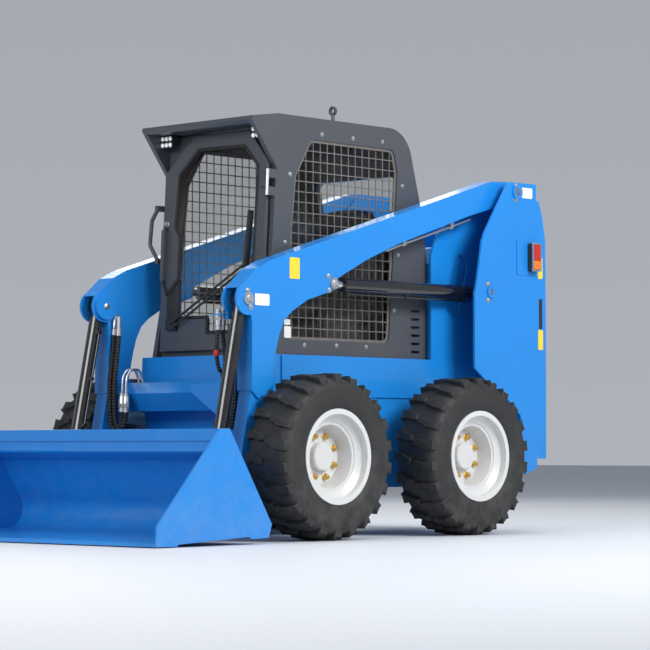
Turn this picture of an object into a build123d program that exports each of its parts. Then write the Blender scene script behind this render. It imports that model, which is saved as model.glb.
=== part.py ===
# A compact wheeled skid steer loader with a closed cab and a wide bucket.
# The front faces -Y, the machine's left is +X, and the wheels stand on Z = 0.
from build123d import *
import os
from math import atan2, cos, degrees, hypot, radians, sin

os.makedirs("parts", exist_ok=True)

# Driving dimensions, in millimetres. Places along the machine are measured from the
# middle of the wheelbase, which lies datum_y behind the middle of the overall length.
datum_y = 189.0
front_axle_y = -513.5
rear_axle_y = 513.5
tyre_r = 387.0
tyre_width = 262.0
tyre_centre_x = 681.0
running_gap = 0.05
seat_gap = 0.3

# Pin places (y, z) of the lift arms, the bucket and their cylinders.
pivot = (1057.0, 1740.0)
lift_base = (842.0, 1215.0)
lift_eye = (-264.0, 1211.0)
knee = (-844.0, 1114.0)
hinge = (-900.0, 150.0)
tilt_eye = (-1007.0, 340.0)
pivot_pin_r = 25.0
cylinder_pin_r = 21.0
hinge_pin_r = 24.0

# Widths, as distances from the middle plane.
cab_x = 379.0
body_x = 420.0
arm_in_x = 440.0
arm_out_x = 538.0
tower_out_x = 600.0
tower_plate = 12.0
bucket_x = 825.0
cylinder_x = 489.0
axle_z = tyre_r

# Heights.
body_low_z = 234.0
body_top_z = 870.0
roof_z = 2022.0


def side(x):
    """The upright plane at x, with sketch coordinates (y from the datum, z)."""
    return Plane(origin=(x, datum_y, 0), x_dir=(0, 1, 0), z_dir=(1, 0, 0))


def across(y):
    """The upright plane at y, facing the front, with sketch coordinates (x, z)."""
    return Plane(origin=(0, datum_y + y, 0), x_dir=(1, 0, 0), z_dir=(0, -1, 0))


def level(z):
    """The flat plane at z, with sketch coordinates (x, y from the datum)."""
    return Plane(origin=(0, datum_y, z))


def shape(plane, points, rounds=()):
    """A closed outline; rounds holds pairs of a corner's number and its radius."""
    with BuildSketch(plane) as outline:
        with BuildLine():
            Polyline(*points, close=True)
        make_face()
        for corner, radius in rounds:
            spot = (*points[corner], 0)
            fillet(outline.vertices().sort_by_distance(spot)[0], radius)
    return outline.sketch


def disc(plane, centre, radius):
    """A round outline."""
    with BuildSketch(plane) as outline:
        with Locations(centre):
            Circle(radius)
    return outline.sketch


def strip(plane, points, thickness, bend=0):
    """The outline of a bent sheet, from the line through the middle of it."""
    with BuildSketch(plane) as outline:
        with BuildLine():
            if bend:
                FilletPolyline(*points, radius=bend)
            else:
                Polyline(*points)
        trace(line_width=thickness)
    return outline.sketch


def about(anchor, *offsets):
    """Points given by their offsets from an anchor."""
    return [(anchor[0] + y, anchor[1] + z) for y, z in offsets]


def inset(points, depth):
    """The outline moved inwards by depth; the points run clockwise."""
    lines = []
    for (y0, z0), (y1, z1) in zip(points, points[1:] + points[:1]):
        span = hypot(y1 - y0, z1 - z0)
        along = ((y1 - y0) / span, (z1 - z0) / span)
        lines.append(((y0 + along[1] * depth, z0 - along[0] * depth), along))
    corners = []
    for (spot, way), (other, turn) in zip(lines[-1:] + lines[:-1], lines):
        cross = way[0] * turn[1] - way[1] * turn[0]
        step = ((other[0] - spot[0]) * turn[1] - (other[1] - spot[1]) * turn[0]) / cross
        corners.append((spot[0] + way[0] * step, spot[1] + way[1] * step))
    return corners


def save(solid, name):
    """Labels a piece and writes it."""
    solid.label = name
    export_step(solid, f"parts/{name}.step")


def save_pair(left, name):
    """Writes a left piece and its mirror image."""
    save(left, f"{name}_left")
    save(mirror(left, about=Plane.YZ), f"{name}_right")


# Wheels: a welded rim with a dished disc, a hub and its shaft, and the tyre around it.
rim_flange_r = 222.0
rim_seat_r = 206.0
rim_well_r = 172.0
rim_half = 120.0
rim_sheet = 8.0
disc_face = -7.0
disc_sheet = 12.0
disc_cone_r = 128.0
disc_lip_r = 149.0
disc_lip_x = 64.0
hub_cap_r = 66.0
hub_cap_depth = 34.0
hub_flange_r = 85.0
hub_flange_x = 630.0
shaft_r = 32.0
shaft_end_x = 432.0
axle_tube_r = 72.0
axle_tube_end_x = 624.0
tyre_wall = 24.0
tread_r = tyre_r - 17.0
tread_half = 119.0
shoulder_r = tread_r - 22.0
lugs = 22
lug = [(tread_half, -22), (tread_half, 22), (70, 17), (26, -2), (6, -6), (6, -34), (30, -32),
       (72, -18)]


def wheel(sign, axle_y):
    """One rim with its disc, hub and shaft; sign is 1 on the left and -1 on the right."""
    centre = Plane(origin=(sign * tyre_centre_x, datum_y + axle_y, axle_z),
                   x_dir=(sign, 0, 0), z_dir=(0, -sign, 0))
    seat_in = rim_half - rim_sheet
    inner_r = rim_seat_r - rim_sheet
    barrel = [(rim_half, rim_flange_r), (seat_in, rim_flange_r), (seat_in, rim_seat_r),
              (seat_in - 32, rim_seat_r), (seat_in - 50, rim_well_r),
              (50 - seat_in, rim_well_r), (32 - seat_in, rim_seat_r),
              (-seat_in, rim_seat_r), (-seat_in, rim_flange_r), (-rim_half, rim_flange_r),
              (-rim_half, inner_r), (26 - seat_in, inner_r),
              (44 - seat_in, rim_well_r - rim_sheet), (seat_in - 44, rim_well_r - rim_sheet),
              (seat_in - 26, inner_r), (rim_half, inner_r)]
    dish = [(disc_lip_x, rim_well_r - 4), (disc_lip_x, disc_lip_r), (disc_face, disc_cone_r),
            (disc_face, 0), (disc_face - disc_sheet, 0),
            (disc_face - disc_sheet, disc_cone_r + 8),
            (disc_lip_x - disc_sheet, disc_lip_r + 9), (disc_lip_x - disc_sheet, rim_well_r - 4)]
    hub = [(disc_face + hub_cap_depth, 0), (disc_face + hub_cap_depth, hub_cap_r - 6),
           (disc_face + hub_cap_depth - 6, hub_cap_r), (disc_face, hub_cap_r),
           (disc_face, hub_flange_r), (hub_flange_x - tyre_centre_x, hub_flange_r),
           (hub_flange_x - tyre_centre_x, shaft_r), (shaft_end_x - tyre_centre_x, shaft_r),
           (shaft_end_x - tyre_centre_x, 0)]
    turning = Axis((0, datum_y + axle_y, axle_z), (1, 0, 0))
    with BuildPart() as rim:
        for section in (barrel, dish, hub):
            revolve(shape(centre, section), axis=turning)
    return rim.part


def tyre_part():
    """The front left tyre, open to the rim between its beads, with two rows of lugs."""
    centre = Plane(origin=(tyre_centre_x, datum_y + front_axle_y, axle_z), x_dir=(1, 0, 0),
                   z_dir=(0, -1, 0))
    half = tyre_width / 2
    bead_half = rim_half - rim_sheet - seat_gap
    bead_r = rim_seat_r + seat_gap
    outer = [(bead_half, bead_r), (bead_half, rim_flange_r + 4), (half - 3, rim_flange_r + 26),
             (half, rim_flange_r + 74), (tread_half, shoulder_r), (tread_half - 18, tread_r)]
    inner = [(tread_half - 28, shoulder_r - 8), (half - tyre_wall, rim_flange_r + 74),
             (half - tyre_wall - 3, rim_flange_r + 30), (bead_half - tyre_wall, rim_flange_r + 6),
             (bead_half - tyre_wall, bead_r)]
    section = outer + [(-x, r) for x, r in reversed(outer)]
    section += [(-x, r) for x, r in reversed(inner)] + inner
    turning = Axis((tyre_centre_x, datum_y + front_axle_y, axle_z), (1, 0, 0))
    top_drop = tyre_r - (tyre_r ** 2 - lug[1][1] ** 2) ** 0.5
    with BuildPart() as ring:
        revolve(shape(centre, section), axis=turning)
        for side_sign in (1, -1):
            for number in range(lugs):
                turn = 360 / lugs * (number + (0.5 if side_sign < 0 else 0))
                seat_plane = Plane(origin=(tyre_centre_x, datum_y + front_axle_y, axle_z),
                                   x_dir=(1, 0, 0), z_dir=(0, sin(radians(turn)),
                                                           cos(radians(turn))))
                footprint = [(side_sign * x, y) for x, y in lug]
                extrude(shape(seat_plane.offset(shoulder_r - 6), footprint),
                        amount=tyre_r - top_drop - shoulder_r + 6)
    return ring.part


for end, axle_y in (("front", front_axle_y), ("rear", rear_axle_y)):
    for hand, sign in (("left", 1), ("right", -1)):
        save(wheel(sign, axle_y), f"wheel_{end}_{hand}")
front_left_tyre = tyre_part()
rear_left_tyre = Pos(0, rear_axle_y - front_axle_y, 0) * front_left_tyre
save_pair(front_left_tyre, "tyre_front")
save_pair(rear_left_tyre, "tyre_rear")

# Lower body: the tub between the wheels, with its footwell, engine bay and axle tubes.
body_front_y = -612.0
body_rear_y = 1203.0
tower_rear_y = 1215.0
body_side = [(body_front_y, body_top_z), (body_front_y - 8, 735), (-590, 560), (-560, 300),
             (-500, body_low_z), (1120, body_low_z), (body_rear_y, 300),
             (body_rear_y, body_top_z)]
case_x = 320.0
footwell_x = 300.0
tunnel_front_y = 0.0
cover_x = body_x + 8
bumper_rear_y = 1300.0
bumper_low_z = 240.0
bumper_high_z = 365.0
tie_hole_r = 16.0
tie_hole_x = 300.0
with BuildPart() as chassis:
    extrude(shape(side(-body_x), body_side), amount=2 * body_x)
    extrude(shape(side(-case_x), [(630, 300), (body_rear_y + 1, 300),
            (body_rear_y + 1, body_top_z + 1), (630, body_top_z + 1)]),
            amount=2 * case_x, mode=Mode.SUBTRACT)
    extrude(shape(side(-case_x), [(tunnel_front_y, 300), (640, 300), (640, 840),
            (tunnel_front_y, 840)]), amount=2 * case_x, mode=Mode.SUBTRACT)
    extrude(shape(side(-footwell_x), [(-585, 600), (-120, 600), (-40, body_top_z + 1),
            (-585, body_top_z + 1)]), amount=2 * footwell_x, mode=Mode.SUBTRACT)
    for sign in (-1, 1):
        extrude(shape(side(sign * body_x), [(-505, 674), (930, 674), (930, 865), (-505, 865)],
                      rounds=[(0, 12), (1, 12)]), amount=sign * (cover_x - body_x))
        for axle_y in (front_axle_y, rear_axle_y):
            extrude(disc(side(sign * body_x), (axle_y, axle_z), axle_tube_r),
                    amount=sign * (axle_tube_end_x - body_x))
    for axle_y in (front_axle_y, rear_axle_y):
        for sign in (-1, 1):
            extrude(disc(side(sign * (shaft_end_x - 6)), (axle_y, axle_z),
                         shaft_r + running_gap),
                    amount=sign * (axle_tube_end_x - shaft_end_x + 8), mode=Mode.SUBTRACT)
    extrude(shape(level(bumper_low_z), [(-body_x, body_rear_y), (body_x, body_rear_y),
            (body_x, bumper_rear_y), (-body_x, bumper_rear_y)], rounds=[(2, 20), (3, 20)]),
            amount=bumper_high_z - bumper_low_z)
    extrude(shape(level(bumper_low_z + 30), [(-body_x + 14, body_rear_y),
            (body_x - 14, body_rear_y), (body_x - 14, bumper_rear_y - 14),
            (-body_x + 14, bumper_rear_y - 14)]),
            amount=bumper_high_z - bumper_low_z, mode=Mode.SUBTRACT)
    with BuildSketch(across(bumper_rear_y + 1)):
        with Locations((-tie_hole_x, bumper_high_z - 50), (tie_hole_x, bumper_high_z - 50)):
            Circle(tie_hole_r)
    extrude(amount=16, mode=Mode.SUBTRACT)
save(chassis.part, "chassis_tub")

# Towers behind the cab: an inner and an outer plate on each side, a rear web and the pins.
tower_in_x = 408.0
tower_top_z = 1790.0
outer_plate = [(990, 1786), (891, 1650), (794, 1514), (773, 1467), (732, 1258), (715, 1200),
               (715, 827), (813, 759), (905, 719), (987, 664), (1080, 594), (1120, 293),
               (tower_rear_y, 323), (tower_rear_y, tower_top_z)]
inner_plate = [(587, body_top_z), (587, 1394), (634, 1503), (984, 1786),
               (tower_rear_y, tower_top_z), (tower_rear_y, body_top_z)]
slot_low = (756.0, 1152.0)
slot_high = (818.0, 1355.0)
slot_r = 56.0
with BuildPart() as tower:
    extrude(shape(side(tower_out_x - tower_plate), outer_plate, rounds=[(0, 20)]),
            amount=tower_plate)
    extrude(shape(side(tower_in_x), inner_plate, rounds=[(1, 60)]), amount=tower_plate)
    with BuildSketch(side(tower_in_x)):
        with Locations(slot_low, slot_high):
            Circle(slot_r)
        lean = atan2(slot_high[1] - slot_low[1], slot_high[0] - slot_low[0])
        span = hypot(slot_high[0] - slot_low[0], slot_high[1] - slot_low[1])
        middle = ((slot_low[0] + slot_high[0]) / 2, (slot_low[1] + slot_high[1]) / 2)
        with Locations(Location(middle, degrees(lean))):
            Rectangle(span, 2 * slot_r)
    extrude(amount=tower_plate, mode=Mode.SUBTRACT)
    extrude(shape(side(body_x), [(body_rear_y, 323), (tower_rear_y, 323),
            (tower_rear_y, tower_top_z), (body_rear_y, tower_top_z)]),
            amount=tower_out_x - tower_plate - body_x)
    extrude(disc(side(body_x), pivot, pivot_pin_r), amount=tower_out_x + 6 - body_x)
    extrude(disc(side(body_x), lift_base, cylinder_pin_r), amount=tower_out_x + 6 - body_x)
    extrude(disc(side(tower_out_x), pivot, 38), amount=8)
    extrude(disc(side(tower_out_x), lift_base, 30), amount=8)
save(tower.part, "tower_left")

# The tailgate's hinge knuckles stand on the right tower.
gate_front_y = tower_rear_y + 5
gate_pin = (-598.0, gate_front_y + 9)
gate_knuckle_r = 9.0
gate_hinges = (480.0, 1510.0)
gate_leaf = 60.0
with BuildPart() as tower_right:
    add(mirror(tower.part, about=Plane.YZ))
    for z in gate_hinges:
        for low in (z, z + 2 * gate_leaf + seat_gap):
            with BuildSketch(level(low)):
                with Locations(gate_pin):
                    Circle(gate_knuckle_r)
                with Locations((gate_pin[0] + 1, gate_pin[1] - 12)):
                    Rectangle(12, 24)
            extrude(amount=gate_leaf - seat_gap)
save(tower_right.part, "tower_right")

# Engine cover between the towers and the engine block under it.
cab_rear_y = 599.0
hood_front_y = cab_rear_y + 8
hood_top_z = 1448.0
hood_x = tower_in_x - 3
hood_sheet = 6.0
with BuildPart() as hood:
    extrude(shape(side(-hood_x), [(hood_front_y, body_top_z), (hood_front_y, hood_top_z - 90),
            (hood_front_y + 70, hood_top_z), (body_rear_y, hood_top_z - 30),
            (body_rear_y, body_top_z)], rounds=[(2, 30)]), amount=2 * hood_x)
    extrude(shape(side(hood_sheet - hood_x), [(hood_front_y + hood_sheet, body_top_z - 1),
            (hood_front_y + hood_sheet, hood_top_z - 92 - hood_sheet),
            (hood_front_y + 72, hood_top_z - hood_sheet),
            (body_rear_y + 1, hood_top_z - 30 - hood_sheet), (body_rear_y + 1, body_top_z - 1)]),
            amount=2 * (hood_x - hood_sheet), mode=Mode.SUBTRACT)
save(hood.part, "hood")

engine_x = 260.0
engine = [(690, 300), (1130, 300), (1130, 980), (1060, 1050), (760, 1050), (690, 980)]
with BuildPart() as engine_block:
    extrude(shape(side(-engine_x), engine), amount=2 * engine_x)
    chamfer(engine_block.edges().filter_by(Axis.Z), 25)
save(engine_block.part, "engine_block")

# Tail lamps on brackets on the outer faces of the towers.
with BuildPart() as tail_lamps:
    for sign in (-1, 1):
        extrude(shape(side(sign * tower_out_x), [(1051, 1315), (1209, 1315), (1209, 1489),
                (1051, 1489)]), amount=sign * 4)
        extrude(shape(side(sign * (tower_out_x + 4)), [(1137, 1334), (1208, 1334), (1208, 1481),
                (1137, 1481)], rounds=[(0, 12), (1, 12), (2, 12), (3, 12)]), amount=sign * 30)
save(tail_lamps.part, "tail_lamps")

# Cab shell: side panels, roof with visor, rear wall and front frame.
panel = 25.0
wall = 34.0
front_lean = 3.0
front_foot = (-528.0, 1150.0)
door_foot_z = 898.0
cab_foot_z = body_top_z
visor_tip = (-657.0, 1978.0)
crest = (-482.0, 2020.0)
rear_corner = (449.0, roof_z)
rear_bend = (556.0, 1640.0)
rear_low = (cab_rear_y, 1390.0)
roof_round = 170.0
cab_side = [visor_tip, (-655, 1995), crest, rear_corner, rear_bend, rear_low,
            (cab_rear_y, cab_foot_z), (-584, cab_foot_z), (-530, 1130), (-526, 1331),
            (-492, 1763)]
window = [(-250, 1915), (352, 1915), (380, 1800), (312, 945), (-425, 945), (-400, 1405),
          (-362, 1735)]
window_round = 40.0
louvres = 6
louvre_y = 512.0
louvre_low_z = 908.0
louvre_pitch = 41.0
louvre_length = 66.0
louvre_height = 13.0
with BuildPart() as side_panel:
    extrude(shape(side(cab_x - panel), cab_side, rounds=[(3, roof_round)]), amount=panel)
    extrude(shape(side(cab_x - panel), window,
                  rounds=[(corner, window_round) for corner in range(7)]),
            amount=panel, mode=Mode.SUBTRACT)
    with BuildSketch(side(cab_x - panel)):
        with Locations(*[(louvre_y, louvre_low_z + step * louvre_pitch)
                         for step in range(louvres)]):
            SlotOverall(louvre_length, louvre_height)
    extrude(amount=panel, mode=Mode.SUBTRACT)

inner_x = cab_x - panel
front_frame_z = 1962.0
split_z = 1830.0
shell_line = [visor_tip, (-655, 1995), crest, rear_corner, rear_bend, rear_low,
              (cab_rear_y, cab_foot_z)]
inside_line = [(-640, front_frame_z), (rear_corner[0] - 32, front_frame_z + 22),
               (rear_bend[0] - wall, rear_bend[1]), (rear_low[0] - wall, rear_low[1]),
               (rear_low[0] - wall, cab_foot_z)]
with BuildPart() as upper_shell:
    extrude(shape(side(-inner_x), shell_line + inside_line[::-1],
                  rounds=[(3, roof_round), (10, roof_round - wall)]), amount=2 * inner_x)
eye_x = 300.0
eye_y = -11.0
eye_ring_z = 2082.0
eye_ring_r = 17.0
eye_bar_r = 6.0
with BuildPart() as cab_roof:
    add(upper_shell.part)
    split(bisect_by=level(split_z), keep=Keep.TOP)
    for x in (-eye_x, eye_x):
        extrude(disc(level(roof_z - 1), (x, eye_y), 16), amount=9)
        extrude(disc(level(roof_z), (x, eye_y), 9), amount=eye_ring_z - eye_ring_r - roof_z)
        with BuildSketch(across(eye_y)):
            with Locations((x, eye_ring_z)):
                Circle(eye_ring_r + eye_bar_r)
                Circle(eye_ring_r - eye_bar_r, mode=Mode.SUBTRACT)
        extrude(amount=eye_bar_r, both=True)
    rims = cab_roof.edges().filter_by(GeomType.CIRCLE).filter_by_position(
        Axis.Z, eye_ring_z - 1, eye_ring_z + 1)
    fillet(rims, eye_bar_r - 3.5)
save(cab_roof.part, "cab_roof")
rear_window = [(-300, 1440), (300, 1440), (275, 1800), (-275, 1800)]
with BuildPart() as cab_rear:
    add(upper_shell.part)
    split(bisect_by=level(split_z), keep=Keep.BOTTOM)
    extrude(shape(across(cab_rear_y + 20), rear_window,
                  rounds=[(corner, 40) for corner in range(4)]),
            amount=200, mode=Mode.SUBTRACT)
save(cab_rear.part, "cab_rear")

# Front frame and door lie in a plane that leans back; h is the height up that plane
# from the door's foot, and offset is the distance ahead of the frame's front face.
lean_sin = sin(radians(front_lean))
lean_cos = cos(radians(front_lean))
foot_y = front_foot[0] - (front_foot[1] - door_foot_z) * lean_sin / lean_cos


def leaning(offset):
    """The door's leaning plane, moved forward by offset, with coordinates (x, h)."""
    return Plane(origin=(0, datum_y + foot_y - offset * lean_cos,
                         door_foot_z + offset * lean_sin),
                 x_dir=(1, 0, 0), z_dir=(0, -lean_cos, lean_sin))


frame_top_h = (front_frame_z - door_foot_z) / lean_cos - 4
frame_foot_h = cab_foot_z - door_foot_z + 2.5
frame_depth = 40.0
frame_opening = [(-318, 30), (318, 30), (318, 880), (200, 1020), (-140, 1020), (-318, 850)]
with BuildPart() as cab_front:
    extrude(shape(leaning(-frame_depth), [(-inner_x, frame_foot_h), (inner_x, frame_foot_h),
            (inner_x, frame_top_h), (-inner_x, frame_top_h)]), amount=frame_depth)
    extrude(shape(leaning(-frame_depth), frame_opening,
                  rounds=[(corner, 30) for corner in range(6)]),
            amount=frame_depth, mode=Mode.SUBTRACT)
save(cab_front.part, "cab_front")

# Door: a welded frame round one pane, hung on two hinges at its left edge.
door_back = 13.0
door_face = 32.0
door_outline = [(-338, 0), (338, 0), (338, 232), (350, 240), (350, 900), (225, 1047),
                (-149, 1049), (-330, 887), (-345, 860), (-345, 240), (-338, 232)]
glass_outline = [(-119, 981), (196, 975), (292, 875), (275, 85), (-16, 85), (-16, 160),
                 (-292, 164), (-292, 292), (-228, 352), (-225, 562), (-261, 608), (-245, 865)]
glass_round = 18.0
glass_sheet = 6.0
glass_lap = 10.0
hinge_x = 366.0
hinge_offset = door_face + 10
hinge_knuckle_r = 8.0
hinge_heights = (282.0, 726.0)
leaf = 42.0
with BuildPart() as door_frame:
    extrude(shape(leaning(door_back), door_outline), amount=door_face - door_back)
    extrude(shape(leaning(door_back), glass_outline,
                  rounds=[(corner, glass_round) for corner in range(12)]),
            amount=door_face - door_back, mode=Mode.SUBTRACT)
    for height in hinge_heights:
        with BuildSketch(Plane(leaning(0).from_local_coords((0, height + leaf, 0)),
                               x_dir=(1, 0, 0), z_dir=(0, lean_sin, lean_cos))):
            with Locations((hinge_x, -hinge_offset)):
                Circle(hinge_knuckle_r)
            with Locations(((hinge_x + 318) / 2, -(hinge_offset + door_face) / 2)):
                Rectangle(hinge_x - 318, hinge_offset - door_face + 1)
        extrude(amount=leaf)
    with BuildSketch(leaning(door_face)):
        with Locations((-322, 470)):
            SlotOverall(260, 22, rotation=90)
    extrude(amount=26)
save(door_frame.part, "door_frame")

with BuildPart() as door_glass:
    with BuildSketch(leaning(door_back - glass_sheet)) as pane:
        add(shape(Plane.XY, glass_outline,
                  rounds=[(corner, glass_round) for corner in range(12)]))
        offset(amount=glass_lap, kind=Kind.ARC)
    extrude(amount=glass_sheet)
save(door_glass.part, "door_glass")

# Wiper on the door: two arms from the pivot and an upright blade.
wiper_pivot = (-250.0, 130.0)
wiper_end = (235.0, 395.0)
blade_low = (238.0, 340.0)
blade_high = (262.0, 660.0)
wiper_arm = 8.0
with BuildPart() as wiper:
    extrude(shape(leaning(door_face), [(-285, 100), (-215, 100), (-215, 155), (-285, 155)],
                  rounds=[(corner, 8) for corner in range(4)]), amount=20)
    extrude(strip(leaning(door_face + 20), [wiper_pivot, wiper_end], wiper_arm), amount=8)
    extrude(strip(leaning(door_face + 20), [(wiper_pivot[0] + 20, wiper_pivot[1] - 18),
            (wiper_end[0] + 4, wiper_end[1] - 22)], wiper_arm), amount=8)
    extrude(strip(leaning(door_face - 6), [blade_low, blade_high], 14), amount=28)
save(wiper.part, "wiper")


# The left side panel carries the door's hinge leaves, the right one the grab handle.
with BuildPart() as cab_side_left:
    add(side_panel.part)
    for height in hinge_heights:
        for low in (height, height + 2 * leaf + seat_gap):
            with BuildSketch(Plane(leaning(0).from_local_coords((0, low, 0)),
                                   x_dir=(1, 0, 0), z_dir=(0, lean_sin, lean_cos))):
                with Locations((hinge_x, -hinge_offset)):
                    Circle(hinge_knuckle_r)
                with Locations(((hinge_x + cab_x) / 2 + 2, -hinge_offset / 2 + 8)):
                    Rectangle(cab_x - hinge_x - 3, hinge_offset + 20)
            extrude(amount=leaf - seat_gap)
save(cab_side_left.part, "cab_side_left")

handle_r = 10.0
handle_y = -560.0
handle_route = [(-366, 1605), (-410, 1547), (-424, 1429), (-366, 1345)]
with BuildPart() as cab_side_right:
    add(mirror(side_panel.part, about=Plane.YZ))
    with BuildLine(across(handle_y)) as route:
        FilletPolyline(*handle_route, radius=30)
    with BuildSketch(Plane(route.line @ 0, z_dir=route.line % 0)):
        Circle(handle_r)
    sweep(path=route.line)
    for x, z in (handle_route[0], handle_route[-1]):
        extrude(shape(side(x - 10), [(handle_y - 12, z - 14), (-500, z - 14), (-500, z + 14),
                (handle_y - 12, z + 14)]), amount=20)
save(cab_side_right.part, "cab_side_right")

# Window panes and the wire guards outside them.
pane_sheet = 5.0
with BuildPart() as windows:
    for sign in (-1, 1):
        with BuildSketch(side(sign * (inner_x - seat_gap))):
            add(shape(Plane.XY, window,
                      rounds=[(corner, window_round) for corner in range(7)]))
            offset(amount=12)
        extrude(amount=-sign * pane_sheet)
    inside = [(rear_low[0] - wall, rear_low[1]), (rear_bend[0] - wall, rear_bend[1]),
              (rear_corner[0] - 32, front_frame_z + 22)]
    pane_bend = (inside[1][0] - pane_sheet / 2 - seat_gap, inside[1][1])
    low_run = (inside[1][0] - inside[0][0]) / (inside[1][1] - inside[0][1])
    high_run = (inside[2][0] - inside[1][0]) / (inside[2][1] - inside[1][1])
    drop = pane_bend[1] - rear_window[0][1] + 15
    rise = rear_window[2][1] + 15 - pane_bend[1]
    extrude(strip(side(-315), [(pane_bend[0] - low_run * drop, pane_bend[1] - drop), pane_bend,
            (pane_bend[0] + high_run * rise, pane_bend[1] + rise)], pane_sheet), amount=630)
save(windows.part, "windows")

guard_bar = 5.0
guard_cell = 50.5
guard_depth = 3.0
guard_x = inner_x + 10
guard_edge = 14.0
guard_rows = 18
guard_columns = 15
guard_middle = ((window[4][0] + window[2][0]) / 2, (window[0][1] + window[3][1]) / 2)


def guard_bars(x, columns, rows):
    """Bars of the guard, clipped to the window and spaced by the cell."""
    with BuildSketch(side(x)) as bars:
        with Locations(guard_middle):
            if columns:
                with GridLocations(guard_cell, 1, columns, 1):
                    Rectangle(guard_bar, 1200)
            else:
                with GridLocations(1, guard_cell, 1, rows):
                    Rectangle(1200, guard_bar)
        with BuildSketch(mode=Mode.PRIVATE) as limit:
            add(shape(Plane.XY, window, rounds=[(corner, window_round) for corner in range(7)]))
            offset(amount=-guard_edge / 2)
        add(limit.sketch, mode=Mode.INTERSECT)
    return bars.sketch


with BuildPart() as side_guards:
    for sign in (-1, 1):
        with BuildSketch(side(sign * guard_x)):
            add(shape(Plane.XY, window, rounds=[(corner, window_round) for corner in range(7)]))
            offset(amount=-guard_edge, mode=Mode.SUBTRACT)
        extrude(amount=sign * (2 * guard_depth + 1))
        extrude(guard_bars(sign * (guard_x + 0.2), guard_columns, 0),
                amount=sign * guard_depth)
        extrude(guard_bars(sign * (guard_x + guard_depth + 0.5), 0, guard_rows),
                amount=sign * guard_depth)
save(side_guards.part, "side_guards")

# Seat on its box, with a back rest.
seat_x = 235.0
with BuildPart() as seat:
    extrude(shape(side(-seat_x), [(-60, body_top_z + seat_gap), (430, body_top_z + seat_gap),
            (430, 1040), (-60, 1040)]), amount=2 * seat_x)
    extrude(shape(side(-seat_x), [(-90, 1040), (420, 1040), (420, 1110), (-60, 1150),
            (-90, 1120)], rounds=[(3, 25), (4, 20)]), amount=2 * seat_x)
    extrude(shape(side(15 - seat_x), [(330, 1090), (440, 1090), (510, 1640), (420, 1650)],
                  rounds=[(2, 30), (3, 30)]), amount=2 * seat_x - 30)
save(seat.part, "seat")

# Two control levers beside the seat on their consoles.
with BuildPart() as control_levers:
    for sign in (-1, 1):
        extrude(shape(side(sign * 262), [(-150, body_top_z + seat_gap),
                (150, body_top_z + seat_gap), (150, 1150), (-60, 1150)]), amount=sign * 60)
        with BuildSketch(Plane(origin=(sign * 290, datum_y + 20, 1148))):
            Circle(9)
        extrude(amount=150)
        with BuildSketch(Plane(origin=(sign * 290, datum_y + 20, 1290))):
            Circle(22)
        extrude(amount=110, taper=4)
save(control_levers.part, "control_levers")

# Work lamps in the corners under the visor.
lamp_low_z = 1900.0
lamp_high_z = front_frame_z - seat_gap
lamp_in_x = 272.0
lamp_out_x = inner_x - seat_gap
lamp_front_y = -552.0
lamp_rear_y = -510.0
with BuildPart() as work_lamps:
    for sign in (-1, 1):
        extrude(shape(side(sign * lamp_in_x), [(lamp_front_y, lamp_low_z),
                (lamp_rear_y, lamp_low_z + 12), (lamp_rear_y, lamp_high_z),
                (lamp_front_y, lamp_high_z)]), amount=sign * (lamp_out_x - lamp_in_x))
save(work_lamps.part, "work_lamps")

# Lift arms: two plates joined by closing strips, a lower leg box and the pin bosses.
ear_r = 76.0
pivot_hub_r = 55.0
arm_outline = (about(knee, (20, -74), (-20, -70), (-68, 39), (54, 142), (147, 185))
               + about(pivot, (-130, 48), (0, pivot_hub_r), (0, -pivot_hub_r), (-322, -144))
               + about(lift_eye, (464, 214), (239, 126), (31, 27), (-6, -36))
               + about(knee, (398, 11), (293, -47), (241, -91), (207, -157), (186, -229),
                       (165, -324), (148, -408), (122, -437), (71, -459), (25, -421),
                       (27, -109)))
leg_outline = [(-800, 760), (-918, 190), (-862, 120), (-820, 180), (-650, 760)]
leg_in_x = 452.0
leg_out_x = 526.0
hinge_boss_r = 48.0
strip_t = 10.0
boss_in_x = 426.0
with BuildPart() as arm:
    extrude(shape(side(arm_in_x), arm_outline), amount=arm_out_x - arm_in_x)
    extrude(disc(side(arm_in_x), pivot, pivot_hub_r), amount=arm_out_x - arm_in_x)
    extrude(disc(side(arm_in_x), knee, ear_r), amount=arm_out_x - arm_in_x)
    extrude(shape(side(leg_in_x), inset(arm_outline, strip_t)),
            amount=leg_out_x - leg_in_x, mode=Mode.SUBTRACT)
    extrude(disc(side(leg_in_x), pivot, pivot_hub_r), amount=leg_out_x - leg_in_x)
    extrude(shape(side(leg_in_x), about(knee, (-90, -106), (25, -106), (25, 50), (-90, 50))),
            amount=leg_out_x - leg_in_x, mode=Mode.SUBTRACT)
    extrude(shape(side(leg_in_x), about(lift_eye, (-115, -60), (115, -60), (115, 40), (-115, 40))),
            amount=leg_out_x - leg_in_x, mode=Mode.SUBTRACT)
    extrude(shape(side(leg_in_x), leg_outline), amount=leg_out_x - leg_in_x)
    extrude(disc(side(arm_in_x), hinge, hinge_boss_r), amount=arm_out_x - arm_in_x)
    extrude(disc(side(arm_in_x), knee, cylinder_pin_r), amount=arm_out_x - arm_in_x)
    extrude(disc(side(boss_in_x), knee, ear_r - 12), amount=arm_in_x - boss_in_x)
    extrude(disc(side(boss_in_x - 2), hinge, hinge_pin_r),
            amount=arm_out_x - arm_in_x + 2 * (arm_in_x - boss_in_x) + 4)
    extrude(disc(side(arm_out_x), knee, 30), amount=8)
    extrude(disc(side(arm_out_x), lift_eye, 27), amount=8)
    extrude(disc(side(arm_in_x - 1), pivot, pivot_pin_r + running_gap),
            amount=arm_out_x - arm_in_x + 2, mode=Mode.SUBTRACT)
save_pair(arm.part, "arm")

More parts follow.
